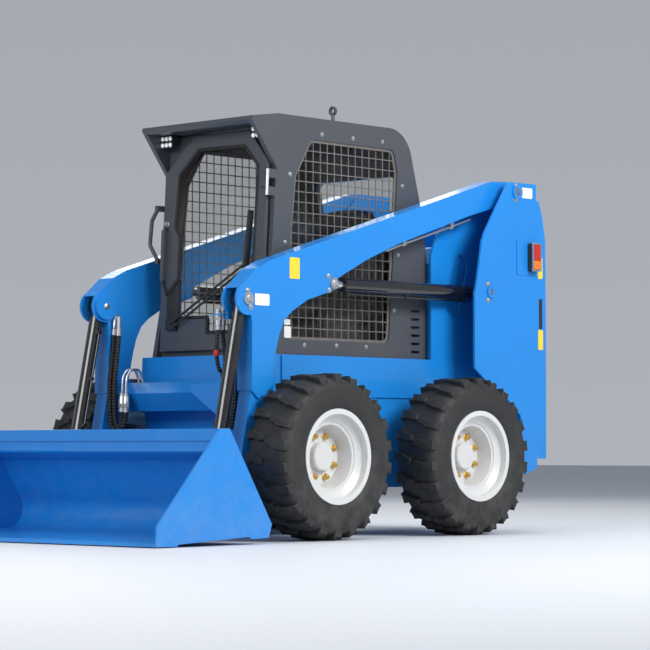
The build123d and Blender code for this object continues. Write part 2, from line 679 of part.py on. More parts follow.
# Cross beam between the arms, with the step at its left end.
beam_outline = [(-700, 745), (-790, 690), (-740, 605), (-672, 650)]
beam_inner = [(-700, 733), (-774, 688), (-736, 622), (-686, 655)]
step_outline = [(124, 727), (arm_in_x, 727), (arm_in_x, 490), (205, 638), (124, 690)]
with BuildPart() as cross_beam:
    extrude(shape(side(-arm_in_x), beam_outline), amount=2 * arm_in_x)
    extrude(shape(side(-arm_in_x), beam_inner), amount=2 * arm_in_x, mode=Mode.SUBTRACT)
    extrude(shape(across(-798), step_outline), amount=8)
    extrude(shape(across(-760), [(124, 719), (arm_in_x, 719), (arm_in_x, 727), (124, 727)]),
            amount=40)
    extrude(shape(across(-752), [(180, 660), (arm_in_x, 660), (arm_in_x, 719), (180, 719)]),
            amount=46)
save(cross_beam.part, "cross_beam")

# Silver pipe clipped along the outside of each arm.
pipe_r = 6.5
pipe_x = 500.0
pipe_route = [(153, 1391), (259, 1426), (665, 1545), (800, 1586)]
pipe_clips = (0.2, 0.76)
under_low, under_high = about(lift_eye, (464, 214))[0], about(pivot, (-322, -144))[0]
under_slope = (under_high[1] - under_low[1]) / (under_high[0] - under_low[0])
with BuildPart() as arm_pipes:
    for sign in (-1, 1):
        with BuildLine(side(sign * pipe_x)) as route:
            FilletPolyline(*pipe_route, radius=60)
        with BuildSketch(Plane(route.line @ 0, z_dir=route.line % 0)):
            Circle(pipe_r)
        sweep(path=route.line)
        for share in pipe_clips:
            spot = route.line @ share
            y, z = spot.Y - datum_y, spot.Z
            top = under_low[1] + (y - under_low[0]) * under_slope - seat_gap
            rise = 12 * under_slope
            extrude(shape(side(sign * (pipe_x - 12)), [(y - 12, z - 10 - rise),
                    (y + 12, z - 10 + rise), (y + 12, top + rise), (y - 12, top - rise)]),
                    amount=sign * 24)
save(arm_pipes.part, "arm_pipes")

# Hoses down the inner side of each leg, turning up into couplings on the cross beam.
hose_r = 13.0
coupling_r = 11.0
coupling_y = -822.0
coupling_low_z = 596.0
coupling_high_z = 690.0
hose_sides = ((-1, 338.0), (1, 389.0))
hose_bends = {-1: [60, 60, 60, 40, 26, 26], 1: [60, 60, 60, 30, 12, 12]}
with BuildPart() as aux_hoses:
    for sign, coupling_x in hose_sides:
        leg_x = arm_in_x - hose_r - seat_gap
        points = [(leg_x, -792, 985), (leg_x, -800, 900), (leg_x, -821, 745),
                  (leg_x - 4, -823, 620), (leg_x - 10, coupling_y, 540),
                  ((leg_x + coupling_x) / 2, coupling_y, 500), (coupling_x, coupling_y, 540),
                  (coupling_x, coupling_y, coupling_low_z)]
        with BuildLine() as route:
            FilletPolyline(*[(sign * x, datum_y + y, z) for x, y, z in points],
                           radius=hose_bends[sign])
        with BuildSketch(Plane(route.line @ 0, z_dir=route.line % 0)):
            Circle(hose_r)
        sweep(path=route.line)
        for x, y, low, high in ((coupling_x, coupling_y, coupling_low_z, coupling_high_z),
                                (leg_x, -793.5, 975, 1012)):
            with BuildSketch(level(low)):
                with Locations((sign * x, y)):
                    Circle(coupling_r)
            extrude(amount=high - low)
save(aux_hoses.part, "aux_hoses")

# Bucket: floor and back in one bent sheet, a folded top beam, and the side plates.
sheet = 10.0
rear_low_corner = (-82.0, -63.0)
back_dir = (-0.530, 0.848)
floor_front = (-700.0, -135.0)
floor_slope = 0.0533
floor_round = 95.0
back_length = 500.0
beam_foot = 344.0
side_plate = [(-349, 364), (-410, 362), (-787, -59), (-789, -146), (-665, -146), (-661, -138),
              (-227, -115), (-206, -126), (-103, -122), rear_low_corner]
back_normal = (0.848, 0.530)


def on_back(along, away):
    """A place behind the bucket: along its back and away from it, as (y, z)."""
    return (hinge[0] + rear_low_corner[0] + along * back_dir[0] + away * back_normal[0],
            hinge[1] + rear_low_corner[1] + along * back_dir[1] + away * back_normal[1])


floor_start = about(hinge, floor_front)[0]
back_start = on_back(0, -sheet / 2)
reach = ((floor_start[1] - back_start[1] + floor_slope * (back_start[0] - floor_start[0]))
         / (back_dir[1] - floor_slope * back_dir[0]))
floor_bend = on_back(reach, -sheet / 2)
inner = bucket_x - sheet
with BuildPart() as bucket_shell:
    extrude(strip(side(-inner), [floor_start, floor_bend, on_back(back_length, -sheet / 2)],
                  sheet, bend=floor_round), amount=2 * inner)
    extrude(strip(side(-inner), [on_back(beam_foot, -sheet / 2)]
                  + about(hinge, (-394, 262), (-394, 312)), sheet, bend=15),
            amount=2 * inner)
    extrude(shape(side(-inner), about(hinge, (-410, 310), (-385, 310), (-349, 352), (-349, 364),
                                      (-410, 362))), amount=2 * inner)
    for x in (-bucket_x, inner):
        extrude(shape(side(x), about(hinge, *side_plate)), amount=sheet)
    with BuildSketch(level(hinge[1] + 240)):
        with Locations((-600, hinge[0] - 330), (600, hinge[0] - 330)):
            Circle(12)
    extrude(amount=30, mode=Mode.SUBTRACT)
save(bucket_shell.part, "bucket_shell")

# Cutting edge: a bevelled bar under the front of the floor, with bolt holes.
edge_outline = about(hinge, (-789, -146), (floor_front[0] - seat_gap, -146),
                     (floor_front[0] - seat_gap, -129), (-762, -129), (-789, -141))
with BuildPart() as cutting_edge:
    extrude(shape(side(-inner), edge_outline), amount=2 * inner)
save(cutting_edge.part, "cutting_edge")

# Coupler on the bucket's back: a plate with the ears of the hinge and the tilt cylinder.
plate_t = 14.0
ear_t = 12.0
hinge_ears = (426.0, 540.0)
tilt_ears = (445.0, 521.0)
tilt_ear_r = 28.0

tilt_window = [on_back(135, 0), on_back(395, 0), on_back(395, plate_t), on_back(135, plate_t)]
with BuildPart() as coupler:
    extrude(shape(side(-570), [on_back(-6, 0), on_back(430, 0), on_back(430, plate_t),
            on_back(-6, plate_t)]), amount=1140)
    for sign in (-1, 1):
        extrude(shape(side(sign * 452), tilt_window), amount=sign * 74, mode=Mode.SUBTRACT)
        for ear in hinge_ears:
            extrude(shape(side(sign * ear), [on_back(-6, plate_t - 2), on_back(120, plate_t - 2),
                    about(hinge, (-12, 42))[0], about(hinge, (38, -20))[0]]),
                    amount=sign * ear_t)
            extrude(disc(side(sign * ear), hinge, 44), amount=sign * ear_t)
        for ear in tilt_ears:
            extrude(shape(side(sign * ear), [on_back(128, plate_t - 2),
                    on_back(330, plate_t - 2), about(tilt_eye, (-8, 36))[0],
                    about(tilt_eye, (24, -14))[0]]), amount=sign * ear_t)
            extrude(disc(side(sign * ear), tilt_eye, tilt_ear_r), amount=sign * ear_t)
        extrude(disc(side(sign * 424), hinge, hinge_pin_r + running_gap), amount=sign * 140,
                mode=Mode.SUBTRACT)
        extrude(shape(side(sign * 120), [on_back(20, plate_t - 1), on_back(400, plate_t - 1),
                on_back(360, plate_t + 40), on_back(60, plate_t + 40)]), amount=sign * 10)
        extrude(shape(side(sign * 380), [on_back(20, plate_t - 1), on_back(400, plate_t - 1),
                on_back(360, plate_t + 40), on_back(60, plate_t + 40)]), amount=sign * 10)
save(coupler.part, "coupler")

# Hydraulic cylinders. Each runs along a line between two pins; s is the distance along it.
eye_half = 31.0


def cylinder(start, end, sections, bore_eyes, side_bores=(), pipe=()):
    """Round pieces turned about the line from start to end; sections are (s, r) lists.

    pipe gives the start and end of an oil pipe along the barrel, how far it lies from the
    axis, its radius, and whether it lies below the barrel or on its inner side."""
    length = hypot(end[0] - start[0], end[1] - start[1])
    way = ((end[0] - start[0]) / length, (end[1] - start[1]) / length)
    line = Plane(origin=(cylinder_x, datum_y + start[0], start[1]),
                 x_dir=(0, way[0], way[1]), z_dir=(1, 0, 0))
    turning = Axis((cylinder_x, datum_y + start[0], start[1]), (0, way[0], way[1]))
    eye, eye_r = bore_eyes
    with BuildPart() as piece:
        for section in sections:
            revolve(shape(line, section), axis=turning)
        extrude(disc(side(cylinder_x - eye_half), eye, eye_r), amount=2 * eye_half)
        if pipe:
            low, high, away, radius, below = pipe
            aside = line.y_dir if below else Vector(-1, 0, 0)
            along = Plane(origin=line.origin + line.x_dir * low + aside * away,
                          z_dir=line.x_dir)
            with BuildSketch(along):
                Circle(radius)
            extrude(amount=high - low)
            for place in (low, (low + high) / 2, high):
                start_point = line.origin + line.x_dir * place + aside * (away - radius - 4)
                with BuildSketch(Plane(origin=start_point, x_dir=line.x_dir, z_dir=aside)):
                    RectangleRounded(3 * radius, 2 * radius + 6, 3)
                extrude(amount=2 * radius + 7)
        for hollow in side_bores:
            revolve(shape(line, hollow), axis=turning, mode=Mode.SUBTRACT)
        extrude(disc(side(cylinder_x - eye_half - 1), eye, cylinder_pin_r + running_gap),
                amount=2 * eye_half + 2, mode=Mode.SUBTRACT)
    return piece.part


# Lift cylinder: barrel from its base pin, rod from the pin on the arm.
lift_barrel_r = 35.0
lift_bore_r = 28.0
lift_rod_r = 21.0
lift_barrel_end = 997.0
lift_rod_length = 810.0
gland = 32.0
piston = 40.0
lift_span = hypot(lift_eye[0] - lift_base[0], lift_eye[1] - lift_base[1])
lift_rod_end = lift_span - lift_rod_length
lift_barrel = cylinder(
    lift_base, lift_eye,
    [[(30, 0), (30, lift_barrel_r), (lift_barrel_end, lift_barrel_r), (lift_barrel_end, 0)]],
    (lift_base, 40.0),
    [[(lift_rod_end - 16, 0), (lift_rod_end - 16, lift_bore_r),
      (lift_barrel_end - gland, lift_bore_r),
      (lift_barrel_end - gland, lift_rod_r + running_gap),
      (lift_barrel_end + 1, lift_rod_r + running_gap), (lift_barrel_end + 1, 0)]],
    pipe=(90, lift_barrel_end - 40, lift_barrel_r + 8, 6.5, True))
lift_rod = cylinder(
    lift_base, lift_eye,
    [[(lift_rod_end, 0), (lift_rod_end, lift_bore_r - running_gap),
      (lift_rod_end + piston, lift_bore_r - running_gap), (lift_rod_end + piston, lift_rod_r),
      (lift_span - 30, lift_rod_r), (lift_span - 30, 0)]],
    (lift_eye, 36.0))
save_pair(lift_barrel, "lift_barrel")
save_pair(lift_rod, "lift_rod")

# Tilt cylinder: barrel from the knee pin, rod from the pin on the coupler.
tilt_barrel_r = 32.5
tilt_bore_r = 26.0
tilt_rod_r = 19.0
tilt_barrel_end = 660.0
tilt_rod_length = 504.0
tilt_travel_in = 81.0
tilt_span = hypot(tilt_eye[0] - knee[0], tilt_eye[1] - knee[1])
tilt_rod_end = tilt_span - tilt_rod_length
tilt_barrel = cylinder(
    knee, tilt_eye,
    [[(30, 0), (30, tilt_barrel_r), (tilt_barrel_end, tilt_barrel_r), (tilt_barrel_end, 0)]],
    (knee, 38.0),
    [[(tilt_rod_end - tilt_travel_in - 12, 0), (tilt_rod_end - tilt_travel_in - 12, tilt_bore_r),
      (tilt_barrel_end - gland / 2, tilt_bore_r),
      (tilt_barrel_end - gland / 2, tilt_rod_r + running_gap),
      (tilt_barrel_end + 1, tilt_rod_r + running_gap), (tilt_barrel_end + 1, 0)]],
    pipe=(130, tilt_barrel_end - 70, tilt_barrel_r + 8, 5.5, False))
tilt_rod = cylinder(
    knee, tilt_eye,
    [[(tilt_rod_end, 0), (tilt_rod_end, tilt_bore_r - running_gap),
      (tilt_rod_end + piston, tilt_bore_r - running_gap), (tilt_rod_end + piston, tilt_rod_r),
      (tilt_span - 30, tilt_rod_r), (tilt_span - 30, 0)]],
    (tilt_eye, 35.0))
save_pair(tilt_barrel, "tilt_barrel")
save_pair(tilt_rod, "tilt_rod")

# Tailgate: a dished door across the back of the towers, hinged at its right edge.
gate_x = 585.0
gate_sheet = 8.0
gate_low_z = 371.0
gate_side = [(gate_front_y, 1715), (1256, 1703), (1284, 1627), (1309, 1500), (1311, 1195),
             (1310, gate_low_z), (gate_front_y, gate_low_z)]
vent_width = 420.0
vent_height = 22.0
with BuildPart() as tailgate:
    extrude(shape(side(-gate_x), gate_side), amount=2 * gate_x)
    extrude(shape(side(gate_sheet - gate_x), [(gate_front_y - 1, 1715 - 2 * gate_sheet),
            (1250, 1690), (1276, 1624), (1301, 1499), (1303, 1195), (1302, gate_low_z + gate_sheet),
            (gate_front_y - 1, gate_low_z + gate_sheet)]),
            amount=2 * (gate_x - gate_sheet), mode=Mode.SUBTRACT)
    with BuildSketch(across(1330)):
        for z in (760, 820, 880, 940, 1000, 1060):
            with Locations((-240, z), (240, z)):
                SlotOverall(vent_width, vent_height)
    extrude(amount=60, mode=Mode.SUBTRACT)
    for z in gate_hinges:
        with BuildSketch(level(z + gate_leaf)):
            with Locations(gate_pin):
                Circle(gate_knuckle_r)
            with Locations(((gate_pin[0] - gate_x) / 2 + 2, gate_pin[1] + 4)):
                Rectangle(gate_x * -1 - gate_pin[0] + 4, 10)
        extrude(amount=gate_leaf)
save(tailgate.part, "tailgate")
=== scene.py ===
"""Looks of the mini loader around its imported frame: finishes, tyres, fasteners, lamps and seat."""
from math import cos, hypot, pi, radians, sin

import bmesh
import bpy
from mathutils import Matrix, Vector


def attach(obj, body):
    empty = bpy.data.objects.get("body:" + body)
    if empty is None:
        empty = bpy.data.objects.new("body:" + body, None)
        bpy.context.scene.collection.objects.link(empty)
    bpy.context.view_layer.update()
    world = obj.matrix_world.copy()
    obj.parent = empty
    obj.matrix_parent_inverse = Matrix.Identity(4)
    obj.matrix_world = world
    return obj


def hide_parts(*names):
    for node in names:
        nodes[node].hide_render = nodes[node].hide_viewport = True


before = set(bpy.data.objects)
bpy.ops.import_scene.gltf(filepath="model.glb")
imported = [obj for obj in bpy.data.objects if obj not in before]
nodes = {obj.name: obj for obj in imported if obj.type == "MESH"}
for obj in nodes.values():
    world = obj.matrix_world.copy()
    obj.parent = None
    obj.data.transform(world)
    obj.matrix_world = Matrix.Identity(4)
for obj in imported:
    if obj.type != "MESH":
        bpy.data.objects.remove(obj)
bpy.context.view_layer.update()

# Distances are in metres. The machine's datum lies this far behind the frame's own origin.
DATUM = 0.189
WHEELS = [(end, hand) for end in ("front", "rear") for hand in ("left", "right")]
SIDES = (("left", 1), ("right", -1))
SIGN = dict(SIDES)


# Node groups: one effect each, shared by the finishes.
def new_group(name, inputs, outputs):
    """A shader group with named sockets, and its two end nodes."""
    group = bpy.data.node_groups.new(name, "ShaderNodeTree")
    for label, kind, value in inputs:
        socket = group.interface.new_socket(label, in_out="INPUT", socket_type=kind)
        socket.default_value = value
    for label, kind in outputs:
        group.interface.new_socket(label, in_out="OUTPUT", socket_type=kind)
    entry = group.nodes.new("NodeGroupInput")
    way_out = group.nodes.new("NodeGroupOutput")
    return group, entry, way_out


def add_node(tree, kind, values=(), **settings):
    """A node with its settings, and values for its sockets by name."""
    node = tree.nodes.new(kind)
    for key, value in settings.items():
        setattr(node, key, value)
    for key, value in dict(values).items():
        node.inputs[key].default_value = value
    return node


def noise_texture(tree, scale, detail=3.0, rough=0.55):
    """Noise over the object's own coordinates. The scale is a number or a socket."""
    where = add_node(tree, "ShaderNodeTexCoord")
    texture = add_node(tree, "ShaderNodeTexNoise", {"Detail": detail, "Roughness": rough})
    tree.links.new(where.outputs["Object"], texture.inputs["Vector"])
    if isinstance(scale, (int, float)):
        texture.inputs["Scale"].default_value = scale
    else:
        tree.links.new(scale, texture.inputs["Scale"])
    return texture.outputs["Fac"]


def ranged(tree, value, low, high, out_low, out_high):
    """The value's range from low to high, stretched to another one."""
    node = add_node(tree, "ShaderNodeMapRange", {"From Min": low, "From Max": high,
                                                 "To Min": out_low, "To Max": out_high})
    tree.links.new(value, node.inputs["Value"])
    return node.outputs["Result"]


def mixed(tree, fac, first, second):
    """A colour mix. Each of the three is a socket or a plain value."""
    node = add_node(tree, "ShaderNodeMix", data_type="RGBA")
    for place, value in ((0, fac), (6, first), (7, second)):
        if isinstance(value, bpy.types.NodeSocket):
            tree.links.new(value, node.inputs[place])
        else:
            node.inputs[place].default_value = value
    return node.outputs[2]


def joined(tree, how, first, second):
    """Two numbers or sockets put together by one operation."""
    node = add_node(tree, "ShaderNodeMath", operation=how)
    for place, value in enumerate((first, second)):
        if isinstance(value, bpy.types.NodeSocket):
            tree.links.new(value, node.inputs[place])
        else:
            node.inputs[place].default_value = value
    return node.outputs[0]


def make_cloudy_group():
    """Slow changes of tone over a surface, and a roughness that goes with them."""
    group, entry, way_out = new_group(
        "cloudy tone", [("Colour", "NodeSocketColor", (0.5, 0.5, 0.5, 1)),
                        ("Second", "NodeSocketColor", (0.4, 0.4, 0.4, 1)),
                        ("Scale", "NodeSocketFloat", 5.0), ("Amount", "NodeSocketFloat", 0.5),
                        ("Roughness", "NodeSocketFloat", 0.4)],
        [("Colour", "NodeSocketColor"), ("Roughness", "NodeSocketFloat")])
    cloud = noise_texture(group, entry.outputs["Scale"], 4.0)
    spread = ranged(group, cloud, 0.35, 0.68, 0.0, 1.0)
    mask = joined(group, "MULTIPLY", spread, entry.outputs["Amount"])
    colour = mixed(group, mask, entry.outputs["Colour"], entry.outputs["Second"])
    lift = joined(group, "MULTIPLY", mask, 0.12)
    rough = joined(group, "ADD", entry.outputs["Roughness"], lift)
    group.links.new(colour, way_out.inputs["Colour"])
    group.links.new(rough, way_out.inputs["Roughness"])
    return group


def make_grain_group():
    """A fine even grain, for a Bump node's height."""
    group, entry, way_out = new_group(
        "fine grain", [("Scale", "NodeSocketFloat", 900.0)], [("Height", "NodeSocketFloat")])
    group.links.new(noise_texture(group, entry.outputs["Scale"], 2.0, 0.6),
                    way_out.inputs["Height"])
    return group


def make_dust_group():
    """Dust that gathers low down and lies in patches."""
    group, entry, way_out = new_group(
        "ground dust", [("Colour", "NodeSocketColor", (0.1, 0.1, 0.1, 1)),
                        ("Dust", "NodeSocketColor", (0.42, 0.40, 0.37, 1)),
                        ("Top", "NodeSocketFloat", 0.7), ("Amount", "NodeSocketFloat", 0.3)],
        [("Colour", "NodeSocketColor"), ("Mask", "NodeSocketFloat")])
    where = add_node(group, "ShaderNodeTexCoord")
    apart = add_node(group, "ShaderNodeSeparateXYZ")
    group.links.new(where.outputs["Object"], apart.inputs[0])
    depth = joined(group, "DIVIDE", apart.outputs["Z"], entry.outputs["Top"])
    low = ranged(group, depth, 1.0, 0.0, 0.0, 1.0)
    patches = ranged(group, noise_texture(group, 14.0, 6.0, 0.65), 0.40, 0.72, 0.0, 1.0)
    mask = joined(group, "MULTIPLY", joined(group, "MULTIPLY", low, patches),
                  entry.outputs["Amount"])
    group.links.new(mixed(group, mask, entry.outputs["Colour"], entry.outputs["Dust"]),
                    way_out.inputs["Colour"])
    group.links.new(mask, way_out.inputs["Mask"])
    return group


cloudy_tone = make_cloudy_group()
fine_grain = make_grain_group()
ground_dust = make_dust_group()


def finish_of(name, colour, second, roughness, cloud=(5.0, 0.5), grain=(900.0, 0.05), dust=0.0,
              **shader):
    """A material from a tone, its cloudy second tone, a grain and some dust.

    cloud and grain are each a scale and an amount; shader names the shader's own sockets."""
    material = bpy.data.materials.new(name)
    material.use_nodes = True
    tree = material.node_tree
    surface = tree.nodes["Principled BSDF"]
    tone = add_node(tree, "ShaderNodeGroup", node_tree=cloudy_tone)
    tone.inputs["Colour"].default_value = (*colour, 1)
    tone.inputs["Second"].default_value = (*second, 1)
    tone.inputs["Scale"].default_value, tone.inputs["Amount"].default_value = cloud
    tone.inputs["Roughness"].default_value = roughness
    top = tone.outputs["Colour"]
    if dust:
        layer = add_node(tree, "ShaderNodeGroup", node_tree=ground_dust)
        layer.inputs["Amount"].default_value = dust
        tree.links.new(top, layer.inputs["Colour"])
        top = layer.outputs["Colour"]
    tree.links.new(top, surface.inputs["Base Color"])
    tree.links.new(tone.outputs["Roughness"], surface.inputs["Roughness"])
    texture = add_node(tree, "ShaderNodeGroup", node_tree=fine_grain)
    texture.inputs["Scale"].default_value = grain[0]
    bump = add_node(tree, "ShaderNodeBump", {"Strength": grain[1], "Distance": 0.001})
    tree.links.new(texture.outputs["Height"], bump.inputs["Height"])
    tree.links.new(bump.outputs["Normal"], surface.inputs["Normal"])
    for socket, value in shader.items():
        surface.inputs[socket.replace("_", " ")].default_value = value
    return material


blue_paint = finish_of("blue paint", (0.007, 0.218, 0.63), (0.006, 0.190, 0.57), 0.32,
                       cloud=(2.2, 0.6), grain=(420.0, 0.035), dust=0.12,
                       Coat_Weight=0.40, Coat_Roughness=0.08, Coat_IOR=1.45)
cab_paint = finish_of("cab paint", (0.060, 0.066, 0.078), (0.050, 0.055, 0.066), 0.36,
                      cloud=(3.0, 0.5), grain=(1500.0, 0.12), Coat_Weight=0.25,
                      Coat_Roughness=0.22)
black_paint = finish_of("black paint", (0.006, 0.006, 0.007), (0.010, 0.010, 0.011), 0.16,
                        cloud=(6.0, 0.5), grain=(500.0, 0.03), Coat_Weight=0.9,
                        Coat_Roughness=0.06)
white_paint = finish_of("white paint", (0.62, 0.62, 0.61), (0.55, 0.55, 0.54), 0.32,
                        cloud=(7.0, 0.4), grain=(600.0, 0.03), dust=0.10, Coat_Weight=0.35,
                        Coat_Roughness=0.12)
rod_chrome = finish_of("rod chrome", (0.78, 0.78, 0.79), (0.70, 0.70, 0.72), 0.10,
                       cloud=(20.0, 0.3), grain=(2500.0, 0.01), Metallic=1.0)
zinc_steel = finish_of("zinc steel", (0.62, 0.63, 0.64), (0.48, 0.49, 0.50), 0.32,
                       cloud=(40.0, 0.6), grain=(1800.0, 0.06), Metallic=1.0)
yellow_zinc = finish_of("yellow zinc", (0.72, 0.50, 0.16), (0.60, 0.38, 0.12), 0.30,
                        cloud=(60.0, 0.6), grain=(1500.0, 0.05), Metallic=1.0)
black_plastic = finish_of("black plastic", (0.014, 0.014, 0.015), (0.022, 0.022, 0.023), 0.46,
                          cloud=(12.0, 0.5), grain=(2600.0, 0.20))
seal_rubber = finish_of("seal rubber", (0.010, 0.010, 0.010), (0.018, 0.018, 0.018), 0.60,
                        cloud=(30.0, 0.5), grain=(1400.0, 0.15))
tyre_rubber = finish_of("tyre rubber", (0.011, 0.011, 0.011), (0.020, 0.020, 0.020), 0.62,
                        cloud=(18.0, 0.6), grain=(700.0, 0.30), dust=0.10)
engine_iron = finish_of("engine iron", (0.05, 0.05, 0.055), (0.11, 0.11, 0.115), 0.60,
                        cloud=(14.0, 0.7), grain=(300.0, 0.5), Metallic=0.4)
guard_steel = finish_of("guard steel", (0.150, 0.138, 0.125), (0.100, 0.090, 0.082), 0.42,
                        cloud=(25.0, 0.7), grain=(1200.0, 0.15))
seat_cover = finish_of("seat cover", (0.018, 0.018, 0.020), (0.030, 0.030, 0.032), 0.52,
                       cloud=(15.0, 0.6), grain=(450.0, 0.35))
label_white = finish_of("white label", (0.78, 0.78, 0.76), (0.72, 0.72, 0.70), 0.35,
                        cloud=(30.0, 0.3), grain=(900.0, 0.02), Coat_Weight=0.3)
label_yellow = finish_of("yellow label", (0.86, 0.60, 0.03), (0.78, 0.52, 0.03), 0.35,
                         cloud=(30.0, 0.4), grain=(900.0, 0.02), Coat_Weight=0.3)
lens_red = finish_of("red lens", (0.52, 0.010, 0.008), (0.40, 0.008, 0.006), 0.14,
                     cloud=(60.0, 0.6), grain=(700.0, 0.05), Coat_Weight=0.8,
                     Coat_Roughness=0.03)
lens_amber = finish_of("amber lens", (0.80, 0.20, 0.010), (0.62, 0.14, 0.008), 0.14,
                       cloud=(60.0, 0.6), grain=(700.0, 0.05), Coat_Weight=0.8,
                       Coat_Roughness=0.03)
lamp_bright = finish_of("bright lamp", (0.92, 0.93, 0.95), (0.80, 0.82, 0.85), 0.10,
                        cloud=(90.0, 0.4), grain=(900.0, 0.02), Coat_Weight=0.7,
                        Emission_Color=(1, 1, 1, 1), Emission_Strength=0.25)
pane_glass = finish_of("pane glass", (0.86, 0.86, 0.84), (0.82, 0.82, 0.80), 0.02,
                       cloud=(2.0, 0.3), grain=(3.0, 0.01), Transmission_Weight=1.0, IOR=1.25)
wrapped_hose = finish_of("wrapped hose", (0.010, 0.010, 0.010), (0.020, 0.020, 0.020), 0.42,
                         cloud=(30.0, 0.5), grain=(1400.0, 0.10))
lining = finish_of("cab lining", (0.135, 0.105, 0.090), (0.105, 0.082, 0.070), 0.62,
                   cloud=(5.0, 0.6), grain=(260.0, 0.06))


def let_light_through(material, share):
    """Glass whose shadow is only faint, so that the cab isn't dark inside."""
    tree = material.node_tree
    path = add_node(tree, "ShaderNodeLightPath")
    faint = joined(tree, "MULTIPLY", path.outputs["Is Shadow Ray"], share)
    tree.links.new(joined(tree, "SUBTRACT", 1.0, faint),
                   tree.nodes["Principled BSDF"].inputs["Alpha"])


def wrap_in_spiral(material, scale, height):
    """Ridges across a hose that runs up and down, over the finish's own grain."""
    tree = material.node_tree
    normal = tree.nodes["Principled BSDF"].inputs["Normal"]
    grain = normal.links[0].from_socket
    where = add_node(tree, "ShaderNodeTexCoord")
    turns = add_node(tree, "ShaderNodeTexWave", {"Scale": scale, "Distortion": 0.0},
                     bands_direction="Z")
    tree.links.new(where.outputs["Object"], turns.inputs["Vector"])
    ridges = add_node(tree, "ShaderNodeBump", {"Strength": 0.9, "Distance": height})
    tree.links.new(turns.outputs["Fac"], ridges.inputs["Height"])
    tree.links.new(grain, ridges.inputs["Normal"])
    tree.links.new(ridges.outputs["Normal"], normal)


let_light_through(pane_glass, 0.9)
wrap_in_spiral(wrapped_hose, 21.0, 0.004)

NODE_FINISH = {
    "chassis_tub": blue_paint, "tower_left": blue_paint, "tower_right": blue_paint,
    "hood": blue_paint, "tailgate": blue_paint, "arm_left": blue_paint, "arm_right": blue_paint,
    "cross_beam": blue_paint, "bucket_shell": blue_paint, "cutting_edge": blue_paint,
    "coupler": blue_paint, "cab_front": cab_paint, "cab_rear": cab_paint, "cab_roof": cab_paint,
    "cab_side_left": cab_paint, "cab_side_right": cab_paint, "door_frame": cab_paint,
    "engine_block": engine_iron, "seat": seat_cover, "control_levers": black_plastic,
    "work_lamps": black_plastic, "tail_lamps": black_plastic, "wiper": black_plastic,
    "side_guards": guard_steel, "windows": pane_glass, "door_glass": pane_glass,
    "arm_pipes": zinc_steel, "aux_hoses": wrapped_hose}
for hand in SIGN:
    for cylinder in ("lift", "tilt"):
        NODE_FINISH[f"{cylinder}_barrel_{hand}"] = black_paint
        NODE_FINISH[f"{cylinder}_rod_{hand}"] = rod_chrome
for end, hand in WHEELS:
    NODE_FINISH[f"wheel_{end}_{hand}"] = white_paint
    NODE_FINISH[f"tyre_{end}_{hand}"] = tyre_rubber
for name, cad_object in nodes.items():
    cad_object.data.materials.clear()
    cad_object.data.materials.append(NODE_FINISH[name])


def spot(x, y, z):
    """A place from millimetres, with y counted from the machine's datum."""
    return Vector((x / 1000, y / 1000 + DATUM, z / 1000))


def repaint(node, material, inside):
    """Faces of a node whose middle is inside the test get another finish."""
    mesh = nodes[node].data
    mesh.materials.append(material)
    number = len(mesh.materials) - 1
    for face in mesh.polygons:
        middle = face.center
        if inside(middle.x * 1000, (middle.y - DATUM) * 1000, middle.z * 1000):
            face.material_index = number


# Hinge parts, brackets, pin ends and the lining share a node with something finished otherwise.
LAMP_BRACKET_X = 604.5
DOOR_LEAF_X = 353.0
DOOR_LEAF_LOW = 1150
ARM_PLATE_X = 538.5
CAB_SKIN_X = 374.5
CAB_INSIDE_Y = (-430, 330)
CAB_INSIDE_LOW = 1120
HINGE_X, HINGE_Y, HINGE_Z = (356, 378.5), -505, (1610, 1765)
repaint("tail_lamps", blue_paint, lambda x, y, z: abs(x) < LAMP_BRACKET_X)
repaint("door_frame", zinc_steel, lambda x, y, z: x > DOOR_LEAF_X and z > DOOR_LEAF_LOW)
for hand in SIGN:
    repaint(f"arm_{hand}", zinc_steel, lambda x, y, z: abs(x) > ARM_PLATE_X)
    repaint(f"cab_side_{hand}", lining,
            lambda x, y, z: abs(x) < CAB_SKIN_X and CAB_INSIDE_Y[0] < y < CAB_INSIDE_Y[1]
            and z > CAB_INSIDE_LOW)
repaint("cab_side_left", zinc_steel,
        lambda x, y, z: HINGE_X[0] < x < HINGE_X[1] and y < HINGE_Y
        and HINGE_Z[0] < z < HINGE_Z[1])


def new_object(name, data):
    """An object in the scene that holds the data."""
    made = bpy.data.objects.new(name, data)
    bpy.context.scene.collection.objects.link(made)
    return made


def make_object(name, mesh, body, material, smooth=35.0):
    """A mesh becomes a piece that rides on a body, smooth but for edges sharper than the angle."""
    piece = new_object(name, mesh)
    mesh.materials.append(material)
    mesh.polygons.foreach_set("use_smooth", [True] * len(mesh.polygons))
    mesh.set_sharp_from_angle(angle=radians(smooth))
    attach(piece, body)
    return piece


def closed_mesh(name, work):
    """A finished mesh from a bmesh, with its faces turned outwards."""
    bmesh.ops.remove_doubles(work, verts=work.verts, dist=1e-6)
    bmesh.ops.recalc_face_normals(work, faces=work.faces)
    mesh = bpy.data.meshes.new(name)
    work.to_mesh(mesh)
    work.free()
    return mesh


def turned(work, profile, place, axis, segments=32):
    """A closed profile of (along, radius) points turned about an axis through a place."""
    turn = Vector(axis).to_track_quat("Z", "Y").to_matrix()
    rings = []
    for step in range(segments):
        angle = 2 * pi * step / segments
        rings.append([work.verts.new(Vector(place) + turn @ Vector(
            (radius * cos(angle), radius * sin(angle), along))) for along, radius in profile])
    for step in range(segments):
        here, there = rings[step], rings[(step + 1) % segments]
        for point in range(len(profile)):
            after = (point + 1) % len(profile)
            work.faces.new((here[point], there[point], there[after], here[after]))


